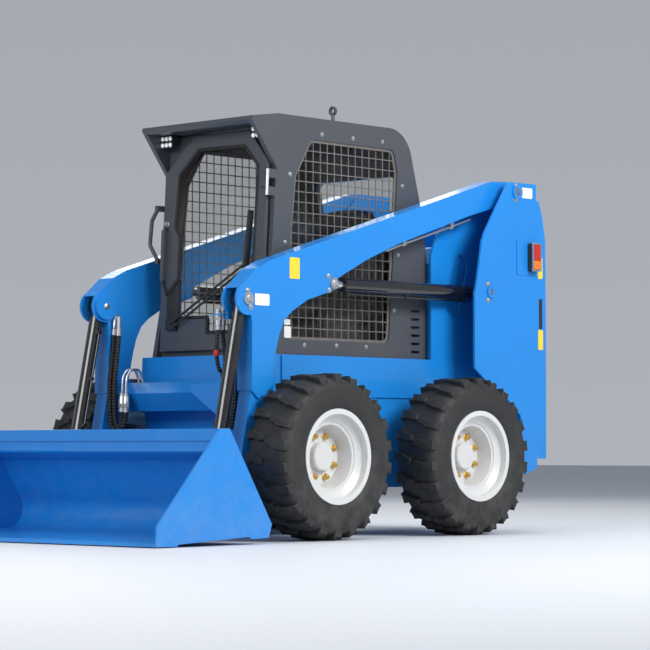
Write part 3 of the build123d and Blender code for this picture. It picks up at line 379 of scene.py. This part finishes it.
def plate(work, outline, place, right, up, thickness, bevel=0.0):
    """A flat outline of (right, up) points made into a plate whose back lies at the place."""
    right, up = Vector(right).normalized(), Vector(up).normalized()
    out = right.cross(up)
    steps = [(0.0, 0.0), (thickness - bevel, 0.0)] + ([(thickness, bevel)] if bevel else [])
    middle = Vector((sum(x for x, _ in outline), sum(y for _, y in outline), 0)) / len(outline)
    rings = []
    for height, shrink in steps:
        ring = []
        for x, y in outline:
            away = Vector((x, y, 0)) - middle
            flat = middle + away * max(0.0, 1 - shrink / max(away.length, 1e-6))
            ring.append(work.verts.new(Vector(place) + right * flat.x + up * flat.y
                                       + out * height))
        rings.append(ring)
    for low, high in zip(rings, rings[1:]):
        for point in range(len(outline)):
            after = (point + 1) % len(outline)
            work.faces.new((low[point], low[after], high[after], high[point]))
    work.faces.new(list(reversed(rings[0])))
    work.faces.new(rings[-1])


def hexagon(radius):
    """Six corners for a bolt head or nut."""
    return [(radius * cos(pi / 3 * k), radius * sin(pi / 3 * k)) for k in range(6)]


def box_outline(width, height, cut=0.0):
    """A rectangle about the origin, with cut corners if asked."""
    w, h = width / 2, height / 2
    if not cut:
        return [(-w, -h), (w, -h), (w, h), (-w, h)]
    return [(-w + cut, -h), (w - cut, -h), (w, -h + cut), (w, h - cut), (w - cut, h),
            (-w + cut, h), (-w, h - cut), (-w, -h + cut)]


WASHER_THICK = 0.0018
HEAD_FOOT = 0.0015
HEAD_EDGE = 0.0012


def bolt(work, place, axis, head, height, washer):
    """A hexagon head on a washer, from their radii and the head's height."""
    axis = Vector(axis).normalized()
    right = axis.orthogonal().normalized()
    up = axis.cross(right)
    turned(work, [(0.0, 0.0), (0.0, washer), (WASHER_THICK, washer), (WASHER_THICK, 0.0)],
           place, axis, 20)
    plate(work, hexagon(head), Vector(place) + axis * HEAD_FOOT, right, up, height, HEAD_EDGE)


# Tyres: a round carcass and two rows of slanting lugs, in place of the plain solids.
HALF_WHEELBASE = 0.5135
AXLES = {"front": DATUM - HALF_WHEELBASE, "rear": DATUM + HALF_WHEELBASE}
AXLE_Z = 0.387
TYRE_X = 0.681
TYRE_R = 0.3869
TREAD_R = 0.368
CARCASS_STEPS = 132
LUGS = 22
# Half the carcass section, from the bead on the outer side to the crown: (across, radius).
CARCASS = [(0.1105, 0.2070), (0.1125, 0.2180), (0.1185, 0.2290), (0.1250, 0.2400),
           (0.1292, 0.2580), (0.1308, 0.2800), (0.1300, 0.3000), (0.1272, 0.3180),
           (0.1272, 0.3215), (0.1240, 0.3340), (0.1180, 0.3470), (0.1050, 0.3590),
           (0.0800, 0.3650), (0.0400, 0.3676), (0.0, TREAD_R)]
# Half the hollow's section, from the crown to the bead.
HOLLOW = [(0.096, 0.335), (0.112, 0.290), (0.100, 0.245), (0.086, 0.2070)]
# One lug seen from outside the tread: (across, along the turn, how far its top lies below the
# full radius). It starts low on the shoulder and slants towards the middle.
LUG_TOP = [(0.1205, -0.024, 0.0210), (0.1205, 0.020, 0.0210), (0.1130, 0.022, 0.0020),
           (0.070, 0.017, 0.0), (0.030, -0.001, 0.0), (0.007, -0.005, 0.0005),
           (0.007, -0.031, 0.0005), (0.034, -0.032, 0.0), (0.072, -0.020, 0.0),
           (0.1130, -0.026, 0.0020)]
# How much wider a lug is at its foot, and how far the foot is sunk: in the tread, past SHOULDER_X.
LUG_DRAFT = 0.0045
FOOT_DEPTH = 0.008
SHOULDER_X = 0.110
SHOULDER_DEPTH = 0.040
SIDEWALL_X = 0.1285
# Lug edges that stand this clear of the tread, or lie this far out, are rounded.
CLEAR_OF_TREAD = 0.004
CLEAR_X = 0.119
LUG_ROUND = 0.0028


def wrapped(across, along, radius, turn):
    """A point on the tyre's round from a flat one: across, along the turn, at a radius."""
    angle = turn + along / TREAD_R
    return Vector((across, -radius * sin(angle), radius * cos(angle)))


def add_lug(work, row, turn):
    """One lug of the outer (1) or inner (-1) row, turned to its place. Gives its faces."""
    points = [(x * row, y * row, drop) for x, y, drop in LUG_TOP]
    middle_x = sum(x for x, _, _ in points) / len(points)
    middle_y = sum(y for _, y, _ in points) / len(points)
    top, foot = [], []
    for x, y, drop in points:
        top.append(work.verts.new(wrapped(x, y, TYRE_R - drop, turn)))
        spread = 1 + LUG_DRAFT / max(hypot(x - middle_x, y - middle_y), 1e-6)
        foot_x = middle_x + (x - middle_x) * spread
        depth = FOOT_DEPTH if abs(x) < SHOULDER_X else SHOULDER_DEPTH
        foot.append(work.verts.new(wrapped(
            max(-SIDEWALL_X, min(SIDEWALL_X, foot_x)), middle_y + (y - middle_y) * spread,
            TREAD_R - depth, turn)))
    faces = [work.faces.new(top)]
    for point in range(len(points)):
        after = (point + 1) % len(points)
        faces.append(work.faces.new((foot[point], foot[after], top[after], top[point])))
    faces.append(work.faces.new(list(reversed(foot))))
    return faces


def tyre_mesh(name):
    """One tyre about its own centre, its outer side at +X."""
    work = bmesh.new()
    outside = CARCASS + [(-x, r) for x, r in reversed(CARCASS[:-1])]
    inside = [(-x, r) for x, r in reversed(HOLLOW)] + HOLLOW
    turned(work, outside + inside, (0, 0, 0), (1, 0, 0), CARCASS_STEPS)
    lug_faces = []
    for row, stagger in ((1, 0.0), (-1, 0.5)):
        for number in range(LUGS):
            lug_faces += add_lug(work, row, 2 * pi / LUGS * (number + stagger))
    edges = {edge for face in lug_faces for edge in face.edges
             if all(v.co.yz.length > TREAD_R + CLEAR_OF_TREAD or abs(v.co.x) > CLEAR_X
                    for v in edge.verts)}
    bmesh.ops.recalc_face_normals(work, faces=work.faces)
    bmesh.ops.bevel(work, geom=list(edges), offset=LUG_ROUND, segments=2, profile=0.6,
                    affect="EDGES")
    mesh = bpy.data.meshes.new(name)
    work.to_mesh(mesh)
    work.free()
    return mesh


for end, hand in WHEELS:
    sign = SIGN[hand]
    tread = tyre_mesh(f"tread_{end}_{hand}")
    tread.transform(Matrix.Translation((sign * TYRE_X, AXLES[end], AXLE_Z))
                    @ Matrix.Scale(sign, 4, (1, 0, 0)))
    if sign < 0:
        tread.flip_normals()
    piece = make_object(f"tread_{end}_{hand}", tread, f"{end}_{hand}_wheel", tyre_rubber,
                        40)
    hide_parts(f"tyre_{end}_{hand}")


# Wheel nuts on their studs. A turned outline's points are (along its axis, radius).
NUTS = 8
NUT_CIRCLE = 0.1016
NUT_R = 0.0145
NUT_FOOT = 0.003
NUT_HIGH = 0.016
NUT_EDGE = 0.0018
DISC_OUT = 0.674
NUT_COLLAR = [(-0.002, 0.0), (-0.002, 0.0175), (0.003, 0.0175), (0.004, 0.0150), (0.004, 0.0)]
STUD_END = [(0.018, 0.0), (0.018, 0.0075), (0.027, 0.0075), (0.0285, 0.006), (0.0285, 0.0)]
for end, hand in WHEELS:
    sign = SIGN[hand]
    axis = Vector((sign, 0, 0))
    work = bmesh.new()
    for number in range(NUTS):
        angle = 2 * pi * (number + 0.5) / NUTS
        place = Vector((sign * DISC_OUT, AXLES[end] + NUT_CIRCLE * cos(angle),
                        AXLE_Z + NUT_CIRCLE * sin(angle)))
        turned(work, NUT_COLLAR, place, axis, 24)
        plate(work, hexagon(NUT_R), place + axis * NUT_FOOT, (0, 1, 0), (0, 0, sign), NUT_HIGH,
              NUT_EDGE)
        turned(work, STUD_END, place, axis, 20)
    make_object(f"nuts_{end}_{hand}", closed_mesh(f"nuts_{end}_{hand}", work),
                f"{end}_{hand}_wheel", yellow_zinc)


# Plain labels on both sides, but the cab's on the left only, without any words:
# (name, body, how far out, (y, y), (z, z), finish), in millimetres.
LABELS = [
    ("arm_label", "boom", 538, (-568, -500), (1220, 1320), label_yellow),
    ("knee_label", "boom", 538, (-800, -704), (1086, 1140), label_white),
    ("tower_label", "root", 600, (1096, 1182), (1712, 1766), label_white),
    ("cab_label_high", "root", 379, (-440, -398), (1013, 1040), label_white),
    ("cab_label_low", "root", 379, (-440, -394), (951, 1007), label_white),
    ("gate_label_high", "tailgate_leaf", 585, (1246, 1284), (1303, 1412), label_yellow),
    ("gate_label_low", "tailgate_leaf", 585, (1246, 1286), (934, 1037), label_yellow),
    ("gate_grip", "tailgate_leaf", 585, (1254, 1280), (1042, 1198), black_plastic),
]
LABEL_THICK = 0.0012
LABEL_CORNER = 0.004
LABEL_EDGE = 0.0004
LABEL_LIFT = 0.05
for name, body, x, (y0, y1), (z0, z1), finish in LABELS:
    for hand, sign in SIDES:
        if sign < 0 and name.startswith("cab"):
            continue
        work = bmesh.new()
        middle = spot(sign * (x + LABEL_LIFT), (y0 + y1) / 2, (z0 + z1) / 2)
        plate(work, box_outline((y1 - y0) / 1000, (z1 - z0) / 1000, LABEL_CORNER), middle,
              (0, sign, 0), (0, 0, 1), LABEL_THICK, LABEL_EDGE)
        make_object(f"{name}_{hand}", closed_mesh(name, work), body, finish)

# Screws, as (y, z), and pin ends and their keeper screws on the arms and towers.
CAB_SCREWS = [(-175, 1945), (48, 1945), (266, 1947), (415, 1738), (382, 1389), (351, 1111),
              (142, 923), (-72, 923), (-299, 920), (-434, 1407), (-399, 1735)]
ARM_SCREWS = [(-846, 1152), (-826, 1076), (-300, 1244), (-296, 1178)]
TOWER_SCREWS = [(1049, 1772), (1049, 1698), (820, 1255), (820, 1174)]
# (name, body, how far out, places, head radius)
SCREWS = [("cab_screws", "root", 379, CAB_SCREWS, 0.0060),
          ("arm_screws", "boom", 538, ARM_SCREWS, 0.0090),
          ("tower_screws", "root", 600, TOWER_SCREWS, 0.0090)]
SCREW_HEAD = 0.007
WASHER_RIM = 0.005
# (body, how far out, y, z, radius), in millimetres
PINS = [("boom", 546, -844, 1114, 15), ("boom", 546, -264, 1211, 16),
        ("root", 600, 842, 1215, 20), ("root", 600, 1057, 1740, 26)]


def pin_end(r):
    """The turned outline of a pin's end, with its centre hole."""
    return [(-0.002, 0.0), (-0.002, r), (0.005, r), (0.008, r - 0.004), (0.008, 0.007),
            (0.0065, 0.005), (0.0065, 0.0)]


for hand, sign in SIDES:
    for name, body, x, places, head in SCREWS:
        work = bmesh.new()
        for y, z in places:
            bolt(work, spot(sign * x, y, z), (sign, 0, 0), head, SCREW_HEAD, head + WASHER_RIM)
        make_object(f"{name}_{hand}", closed_mesh(name, work), body, zinc_steel)
    for number, (body, x, y, z, radius) in enumerate(PINS):
        work = bmesh.new()
        turned(work, pin_end(radius / 1000), spot(sign * x, y, z), (sign, 0, 0), 40)
        make_object(f"pin_{number}_{hand}", closed_mesh("pin", work), body, zinc_steel)

# Work lamps: two rows of three round lights in bright rings behind each visor corner.
LAMP_X = 312.5
LAMP_FACE_Y = -552.0
LAMP_ROWS = (1915.5, 1946.5)
LIGHT_STEP = 26.5
LIGHT = [(-0.002, 0.0), (-0.002, 0.0105), (0.003, 0.0105), (0.0065, 0.0085), (0.009, 0.0045),
         (0.0098, 0.0)]
RING = [(-0.001, 0.0105), (-0.001, 0.0128), (0.0045, 0.0128), (0.0060, 0.0115), (0.0050, 0.0105)]
for hand, sign in SIDES:
    lights, rings = bmesh.new(), bmesh.new()
    for column in (-1, 0, 1):
        for z in LAMP_ROWS:
            middle = spot(sign * LAMP_X + column * LIGHT_STEP, LAMP_FACE_Y, z)
            turned(lights, LIGHT, middle, (0, -1, 0), 24)
            turned(rings, RING, middle, (0, -1, 0), 24)
    make_object(f"lamp_lights_{hand}", closed_mesh("lights", lights), "root", lamp_bright)
    make_object(f"lamp_rings_{hand}", closed_mesh("rings", rings), "root", zinc_steel)

# Tail lamps: a ribbed red lens over an amber one, in a bright frame with two screws.
TAIL_X = 633.5
TAIL_Y = 1172.5
TAIL_WIDE = 0.056
RIB = 7.5
TAIL_LENSES = (("red", 1393, 1470, lens_red), ("amber", 1345, 1391, lens_amber))
FRAME_X = 633.8
# (y, z, wide, high) of the frame's bars, and (y, z) of its screws.
FRAME_BARS = ((TAIL_Y, 1476.5, 71, 9), (TAIL_Y, 1338.5, 71, 9), (1141, 1407.5, 8, 129),
              (1204, 1407.5, 8, 129))
FRAME_SCREWS = ((1150, 1477), (1195, 1338))
FRAME_FACE_X = 640
for hand, sign in SIDES:
    for name, low, high, finish in TAIL_LENSES:
        work = bmesh.new()
        foot = low
        while foot < high - 1:
            top = min(foot + RIB, high)
            plate(work, box_outline(TAIL_WIDE, (top - foot) / 1000),
                  spot(sign * TAIL_X, TAIL_Y, (foot + top) / 2), (0, sign, 0), (0, 0, 1),
                  0.0085, 0.0022)
            foot = top
        make_object(f"tail_{name}_{hand}", closed_mesh(name, work), "root", finish,
                    25)
    work = bmesh.new()
    for y, z, wide, high in FRAME_BARS:
        plate(work, box_outline(wide / 1000, high / 1000), spot(sign * FRAME_X, y, z),
              (0, sign, 0), (0, 0, 1), 0.0065, 0.0015)
    for y, z in FRAME_SCREWS:
        bolt(work, spot(sign * FRAME_FACE_X, y, z), (sign, 0, 0), 0.004, 0.003, 0.0055)
    make_object(f"tail_frame_{hand}", closed_mesh("frame", work), "root", zinc_steel)


# Door: rubber round the pane, a latch with its lever.
LEAN = radians(3)
DOOR_FOOT = (-541.207, 898.0)
GLASS_EDGE = [(-119, 981), (196, 975), (292, 875), (275, 85), (-16, 85), (-16, 160),
              (-292, 164), (-292, 292), (-228, 352), (-225, 562), (-261, 608), (-245, 865)]
DOOR_FACE = 32.0


def on_door(x, h, away=DOOR_FACE):
    """A place on the door's leaning plane: across, up and away from it."""
    return spot(x, DOOR_FOOT[0] - away * cos(LEAN) + h * sin(LEAN),
                DOOR_FOOT[1] + away * sin(LEAN) + h * cos(LEAN))


def grown(outline, depth):
    """The outline moved outwards by depth."""
    area = sum(x0 * y1 - x1 * y0 for (x0, y0), (x1, y1) in zip(outline,
                                                             outline[1:] + outline[:1]))
    turn = 1 if area > 0 else -1
    points = []
    for before, here, after in zip(outline[-1:] + outline[:-1], outline,
                                   outline[1:] + outline[:1]):
        ways = []
        for start, stop in ((before, here), (here, after)):
            span = hypot(stop[0] - start[0], stop[1] - start[1])
            ways.append(((stop[1] - start[1]) / span * turn,
                         -(stop[0] - start[0]) / span * turn))
        (ax, ay), (bx, by) = ways
        scale = depth / (1 + ax * bx + ay * by)
        points.append((here[0] + (ax + bx) * scale, here[1] + (ay + by) * scale))
    return points


def band(work, rings, closed=True):
    """Skins neighbouring rings of places, and closes the last onto the first if asked."""
    made = [[work.verts.new(point) for point in ring] for ring in rings]
    pairs = list(zip(made, made[1:] + made[:1])) if closed else list(zip(made, made[1:]))
    for low, high in pairs:
        for point in range(len(low)):
            after = (point + 1) % len(low)
            work.faces.new((low[point], low[after], high[after], high[point]))
    return made


# The rubber's section round the pane's edge: (outwards from the edge, away from the plane).
SEAL_SECTION = ((-7, 26), (-7, 33), (-4, 36), (6, 36), (9, 33.5), (9, 30))
work = bmesh.new()
band(work, [[on_door(x, h, away) for x, h in grown(GLASS_EDGE, growth)]
            for growth, away in SEAL_SECTION])
make_object("door_seal", closed_mesh("seal", work), "door", seal_rubber)

DOOR_OUT = Vector((0, -cos(LEAN), sin(LEAN)))
DOOR_UP = Vector((0, sin(LEAN), cos(LEAN)))
KNOB = [(-0.001, 0.0), (-0.001, 0.013), (0.004, 0.013), (0.005, 0.010), (0.016, 0.010),
        (0.018, 0.008), (0.018, 0.0)]
LEVER_GRIP = [(-0.011, 0.0), (0.011, 0.0), (0.010, 0.10), (-0.010, 0.10)]
LEVER_TAIL = [(-0.009, 0.004), (0.003, -0.006), (0.034, -0.062), (0.022, -0.070)]
LEVER_X = -322
work = bmesh.new()
turned(work, KNOB, on_door(-318, 628), DOOR_OUT, 28)
make_object("latch_knob", closed_mesh("knob", work), "door", zinc_steel)
work = bmesh.new()
plate(work, LEVER_GRIP, on_door(LEVER_X, 510), (1, 0, 0), DOOR_UP, 0.010, 0.003)
plate(work, LEVER_TAIL, on_door(LEVER_X, 340), (1, 0, 0), DOOR_UP, 0.012, 0.003)
make_object("latch_lever", closed_mesh("lever", work), "door", black_plastic)


# Hoses, pipes and their steel fittings on the boom. Routes are (x, y, z) in millimetres.
def pipe(name, route, radius, body, material):
    """A round bar along a smooth curve through the space near its route's places."""
    data = bpy.data.curves.new(name, "CURVE")
    data.dimensions = "3D"
    data.bevel_depth = radius
    data.bevel_resolution = 5
    data.resolution_u = 10
    data.use_fill_caps = True
    line = data.splines.new("NURBS")
    line.points.add(len(route) - 1)
    for point, row in zip(line.points, route):
        point.co = (*spot(*row), 1)
    line.order_u = 3
    line.use_endpoint_u = True
    data.materials.append(material)
    piece = new_object(name, data)
    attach(piece, body)


def fitting(work, outline, x, y, z):
    """A turned fitting that stands upright on a place."""
    turned(work, outline, spot(x, y, z), (0, 0, 1), 28)


def lock_nut(work, radius, x, y, z):
    """A flat hexagon nut round an upright fitting."""
    plate(work, hexagon(radius), spot(x, y, z), (1, 0, 0), (0, 1, 0), 0.014, 0.001)


def add_steel(name, work):
    """Zinc plated fittings that ride on the boom."""
    make_object(name, closed_mesh(name, work), "boom", zinc_steel)


# Turned outlines, each from its foot to its tip.
COUPLING = [(0.0, 0.012), (0.0, 0.0165), (0.020, 0.0165), (0.022, 0.0145), (0.034, 0.0145),
            (0.036, 0.0175), (0.060, 0.0175), (0.064, 0.0150), (0.080, 0.0150),
            (0.082, 0.0128), (0.090, 0.0128), (0.090, 0.0)]
LONG_FERRULE = [(-0.002, 0.0), (-0.002, 0.0155), (0.030, 0.0155), (0.034, 0.011),
                (0.090, 0.011), (0.090, 0.0)]
SHORT_FERRULE = [(-0.002, 0.0), (-0.002, 0.0155), (0.016, 0.0155), (0.018, 0.013),
                 (0.030, 0.013), (0.030, 0.0)]
THROUGH_COUPLING = [(-0.068, 0.0), (-0.068, 0.0115), (-0.050, 0.0115), (-0.048, 0.0150),
                    (-0.014, 0.0150), (-0.012, 0.0170), (0.010, 0.0170), (0.012, 0.0125),
                    (0.026, 0.0125), (0.028, 0.0)]
GREASE_CAP = [(-0.004, 0.0), (-0.004, 0.0135), (0.030, 0.0135), (0.034, 0.010),
              (0.046, 0.010), (0.050, 0.006), (0.050, 0.0)]
INNER_PIN_END = [(-0.002, 0.0), (-0.002, 0.016), (0.004, 0.016), (0.006, 0.012), (0.006, 0.0)]
DUST_CAP = [(-0.014, 0.0), (-0.014, 0.0125), (0.008, 0.0145), (0.012, 0.0135), (0.014, 0.0)]
KNEE_PIN = (-844, 1114)
LEG_HOSE_X = 426.5
NUT_ROUND_R = 0.0185
SECOND_HOSE_R = 0.0125
NEAR_HOSE_R = 0.0095
TUBE_R = 0.0065
ELBOW_R = 0.010

# Far leg: a second hose beside the solid one, and two bent tubes over the cross beam.
SECOND_HOSE = [(-399, -790, 985), (-399, -798, 900), (-399, -818, 745), (-395, -820, 620),
               (-386, -821, 545), (-352, -821, 512), (-316, -821, 545), (-311, -821, 604)]
TUBE_BEND = [(-822, 680), (-821, 735), (-812, 790), (-770, 812), (-722, 800), (-712, 744)]
pipe("second_hose", SECOND_HOSE, SECOND_HOSE_R, "boom", wrapped_hose)
for number, x in enumerate((-338, -311)):
    pipe(f"bent_tube_{number}", [(x, y, z) for y, z in TUBE_BEND], TUBE_R, "boom",
         zinc_steel)
work = bmesh.new()
fitting(work, COUPLING, -311, -821, 600)
fitting(work, LONG_FERRULE, -399, -790, 975)
lock_nut(work, NUT_ROUND_R, -311, -821, 624)
turned(work, GREASE_CAP, spot(-546, *KNEE_PIN), (-1, 0, 0), 32)
add_steel("far_couplings", work)

# Both legs: the elbow at the top, the knee pin's inner end, and sleeves over the hose's ends.
ELBOW = [(426.5, -793, 1000), (426.5, -792, 1040), (428, -782, 1062), (441, -765, 1068)]
COUPLING_X = {"left": 389.0, "right": 338.0}
COUPLING_Y = -822
for hand, sign in SIDES:
    pipe(f"elbow_{hand}", [(sign * x, y, z) for x, y, z in ELBOW], ELBOW_R, "boom",
         zinc_steel)
    work = bmesh.new()
    turned(work, INNER_PIN_END, spot(sign * 426, *KNEE_PIN), (-sign, 0, 0), 32)
    add_steel(f"inner_pin_{hand}", work)
    work = bmesh.new()
    fitting(work, COUPLING, sign * COUPLING_X[hand], COUPLING_Y, 602)
    fitting(work, SHORT_FERRULE, sign * LEG_HOSE_X, -793.5, 978)
    lock_nut(work, NUT_ROUND_R, sign * COUPLING_X[hand], COUPLING_Y, 626)
    add_steel(f"couplings_{hand}", work)

# Near leg: a bracket under the knee with two couplings, a hose loop and a red cap.
NEAR_LOOP = [(405, -908, 976), (403, -914, 920), (402, -914, 850), (404, -902, 790),
             (408, -882, 775), (412, -866, 800), (410, -866, 880), (406, -874, 930),
             (405, -876, 976)]
work = bmesh.new()
plate(work, box_outline(0.062, 0.076, 0.006), spot(411, -892, 1040), (1, 0, 0), (0, 1, 0),
      0.006, 0.001)
plate(work, box_outline(0.030, 0.040), spot(436, -868, 1023), (1, 0, 0), (0, 1, 0), 0.018)
make_object("coupling_bracket", closed_mesh("bracket", work), "boom", blue_paint)
work = bmesh.new()
for y in (-876, -908):
    fitting(work, THROUGH_COUPLING, 405, y, 1040)
    lock_nut(work, 0.0180, 405, y, 1016)
add_steel("near_couplings", work)
pipe("near_hose", NEAR_LOOP, NEAR_HOSE_R, "boom", wrapped_hose)
work = bmesh.new()
fitting(work, DUST_CAP, 402.5, -914, 866)
make_object("red_cap", closed_mesh("cap", work), "boom", lens_red)

# The seat: a sewn cushion and back rest on a pan and a back, in place of the plain solid.
CUSHION_CUTS = 23
CHANNEL_WIDE = 0.045
SIDE_CHANNEL = 0.62
SIDE_CHANNEL_WIDE = 0.05
CHANNEL_DEEP = 0.13
PIPING = 1.012


def soft_bump(value):
    """A smooth bump of height 1 about zero."""
    return 1 / (1 + value * value) ** 2


def cushion(name, size, place, tilt, channels):
    """A crowned cushion whose sides pull in between its corners, with sewn channels.

    size is in millimetres; channels are places from -1 at the front or foot to 1."""
    work = bmesh.new()
    bmesh.ops.create_cube(work, size=1.0)
    bmesh.ops.subdivide_edges(work, edges=list(work.edges), cuts=CUSHION_CUTS,
                              use_grid_fill=True)
    turn = Matrix.Rotation(tilt, 3, "X")
    for vert in work.verts:
        x, y, z = (2 * value for value in vert.co)
        round_x = x * (1 - 0.10 * y * y - 0.05 * z * z)
        round_y = y * (1 - 0.08 * x * x - 0.05 * z * z)
        crown = z * (1 - 0.30 * x * x) * (1 - 0.26 * y * y)
        seam = sum(soft_bump((y - channel) / CHANNEL_WIDE) for channel in channels)
        seam += soft_bump((abs(x) - SIDE_CHANNEL) / SIDE_CHANNEL_WIDE)
        if z > 0.2:
            crown -= CHANNEL_DEEP * min(1.0, seam)
        if max(abs(x), abs(y)) > 0.97 and abs(z) < 0.09:
            round_x *= PIPING
            round_y *= PIPING
        flat = Vector((round_x * size[0] / 2, round_y * size[1] / 2, crown * size[2] / 2))
        vert.co = spot(*place) + turn @ (flat / 1000)
    piece = make_object(name, closed_mesh(name, work), "root", seat_cover,
                        60)


cushion("seat_pad", (462, 500, 104), (0, 168, 1092), radians(-3.5), (-0.35, 0.30))
cushion("back_pad", (432, 530, 96), (0, 424, 1372), radians(-82.5), (-0.45, 0.0, 0.45))

# The two hard parts: (half width, front, rear, foot, top, how far the top leans back).
PAN_AND_BACK = [(225, -50, 420, 871, 1036, 0.0), (200, 462, 500, 1100, 1590, 26.35)]
work = bmesh.new()
for half, front, rear, foot, top, lean in PAN_AND_BACK:
    corners = ((-half, front), (half, front), (half, rear), (-half, rear))
    low, high = band(work, [[spot(x, y + back, z) for x, y in corners]
                            for z, back in ((foot, 0.0), (top, lean))], False)
    work.faces.new(list(reversed(low)))
    work.faces.new(high)
bmesh.ops.bevel(work, geom=list(work.edges), offset=0.008, segments=2, affect="EDGES")
seat_shell = make_object("seat_shell", closed_mesh("shell", work), "root", black_plastic)
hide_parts("seat")

# Radiator core behind the tailgate's slots.
FINS = 60
CORE_WIDE = 580
CORE_Z = 760
work = bmesh.new()
for fin in range(FINS):
    plate(work, box_outline(0.0035, 0.62),
          spot(CORE_WIDE * (fin / (FINS - 1) - 0.5), 1190, CORE_Z), (1, 0, 0), (0, 0, 1), 0.030)
plate(work, box_outline(0.60, 0.64), spot(0, 1192, CORE_Z), (1, 0, 0), (0, 0, 1), 0.006)
make_object("radiator", closed_mesh("radiator", work), "root", engine_iron)

# Stage: a pale floor, a soft sky and soft lamps.
FLOOR_HALF = 40
FLOOR_DROP = 0.0005
floor_mesh = bpy.data.meshes.new("floor")
floor_mesh.from_pydata([(x * FLOOR_HALF, y * FLOOR_HALF, 0)
                        for x, y in ((-1, -1), (1, -1), (1, 1), (-1, 1))], [], [(0, 1, 2, 3)])
floor = new_object("floor", floor_mesh)
floor.location.z = -FLOOR_DROP
floor_mesh.materials.append(finish_of("pale floor", (0.62, 0.64, 0.67), (0.58, 0.60, 0.63), 0.55,
                                      cloud=(0.3, 0.4), grain=(60.0, 0.02)))


def soft_light(name, place, target, size, power):
    """A large area lamp aimed at a point."""
    data = bpy.data.lights.new(name, "AREA")
    data.shape = "RECTANGLE"
    data.size, data.size_y = size
    data.energy = power
    lamp = new_object(name, data)
    lamp.location = place
    lamp.rotation_euler = (Vector(target) - Vector(place)).to_track_quat("-Z", "Y").to_euler()


soft_light("key light", (7.5, 0.5, 5.0), (0.3, 0.2, 0.9), (4.0, 3.0), 640)
soft_light("front light", (1.0, -8.0, 4.0), (0, 0, 0.9), (5.0, 3.0), 300)
soft_light("top light", (0.0, 1.0, 7.0), (0, 0, 0), (6.0, 6.0), 270)
soft_light("back light", (-6.0, 5.0, 4.5), (0, 0, 1.0), (4.0, 3.0), 120)


def make_sky(low, high, strength):
    """A world whose colour changes from the horizon upwards."""
    world = bpy.data.worlds.new("studio")
    bpy.context.scene.world = world
    world.use_nodes = True
    tree = world.node_tree
    sky = tree.nodes["Background"]
    where = add_node(tree, "ShaderNodeTexCoord")
    apart = add_node(tree, "ShaderNodeSeparateXYZ")
    tree.links.new(where.outputs["Generated"], apart.inputs[0])
    rise = ranged(tree, apart.outputs["Z"], -0.1, 0.6, 0.0, 1.0)
    tree.links.new(mixed(tree, rise, (*low, 1), (*high, 1)), sky.inputs["Color"])
    sky.inputs["Strength"].default_value = strength


make_sky((0.74, 0.77, 0.82), (0.42, 0.46, 0.54), 0.62)

# Camera where the photograph was taken from.
CAMERA_PLACE = (8.830, -9.057, 0.430)
AZIMUTH, ELEVATION, ROLL = radians(42.907), radians(2.727), radians(-0.031)
SENSOR = 36.0
FOCAL_PIXELS = 2569.4
PICTURE_PIXELS = 650.0
FAR_END = 200
lens = bpy.data.cameras.new("camera")
lens.sensor_width = SENSOR
lens.sensor_fit = "HORIZONTAL"
lens.lens = SENSOR * FOCAL_PIXELS / PICTURE_PIXELS
lens.clip_end = FAR_END
camera = new_object("camera", lens)
camera.location = CAMERA_PLACE
ahead = Vector((-sin(AZIMUTH) * cos(ELEVATION), cos(AZIMUTH) * cos(ELEVATION), sin(ELEVATION)))
camera.rotation_euler = (ahead.to_track_quat("-Z", "Y").to_matrix()
                         @ Matrix.Rotation(ROLL, 3, "Z")).to_euler()
bpy.context.scene.camera = camera
bpy.context.scene.view_settings.view_transform = "Standard"
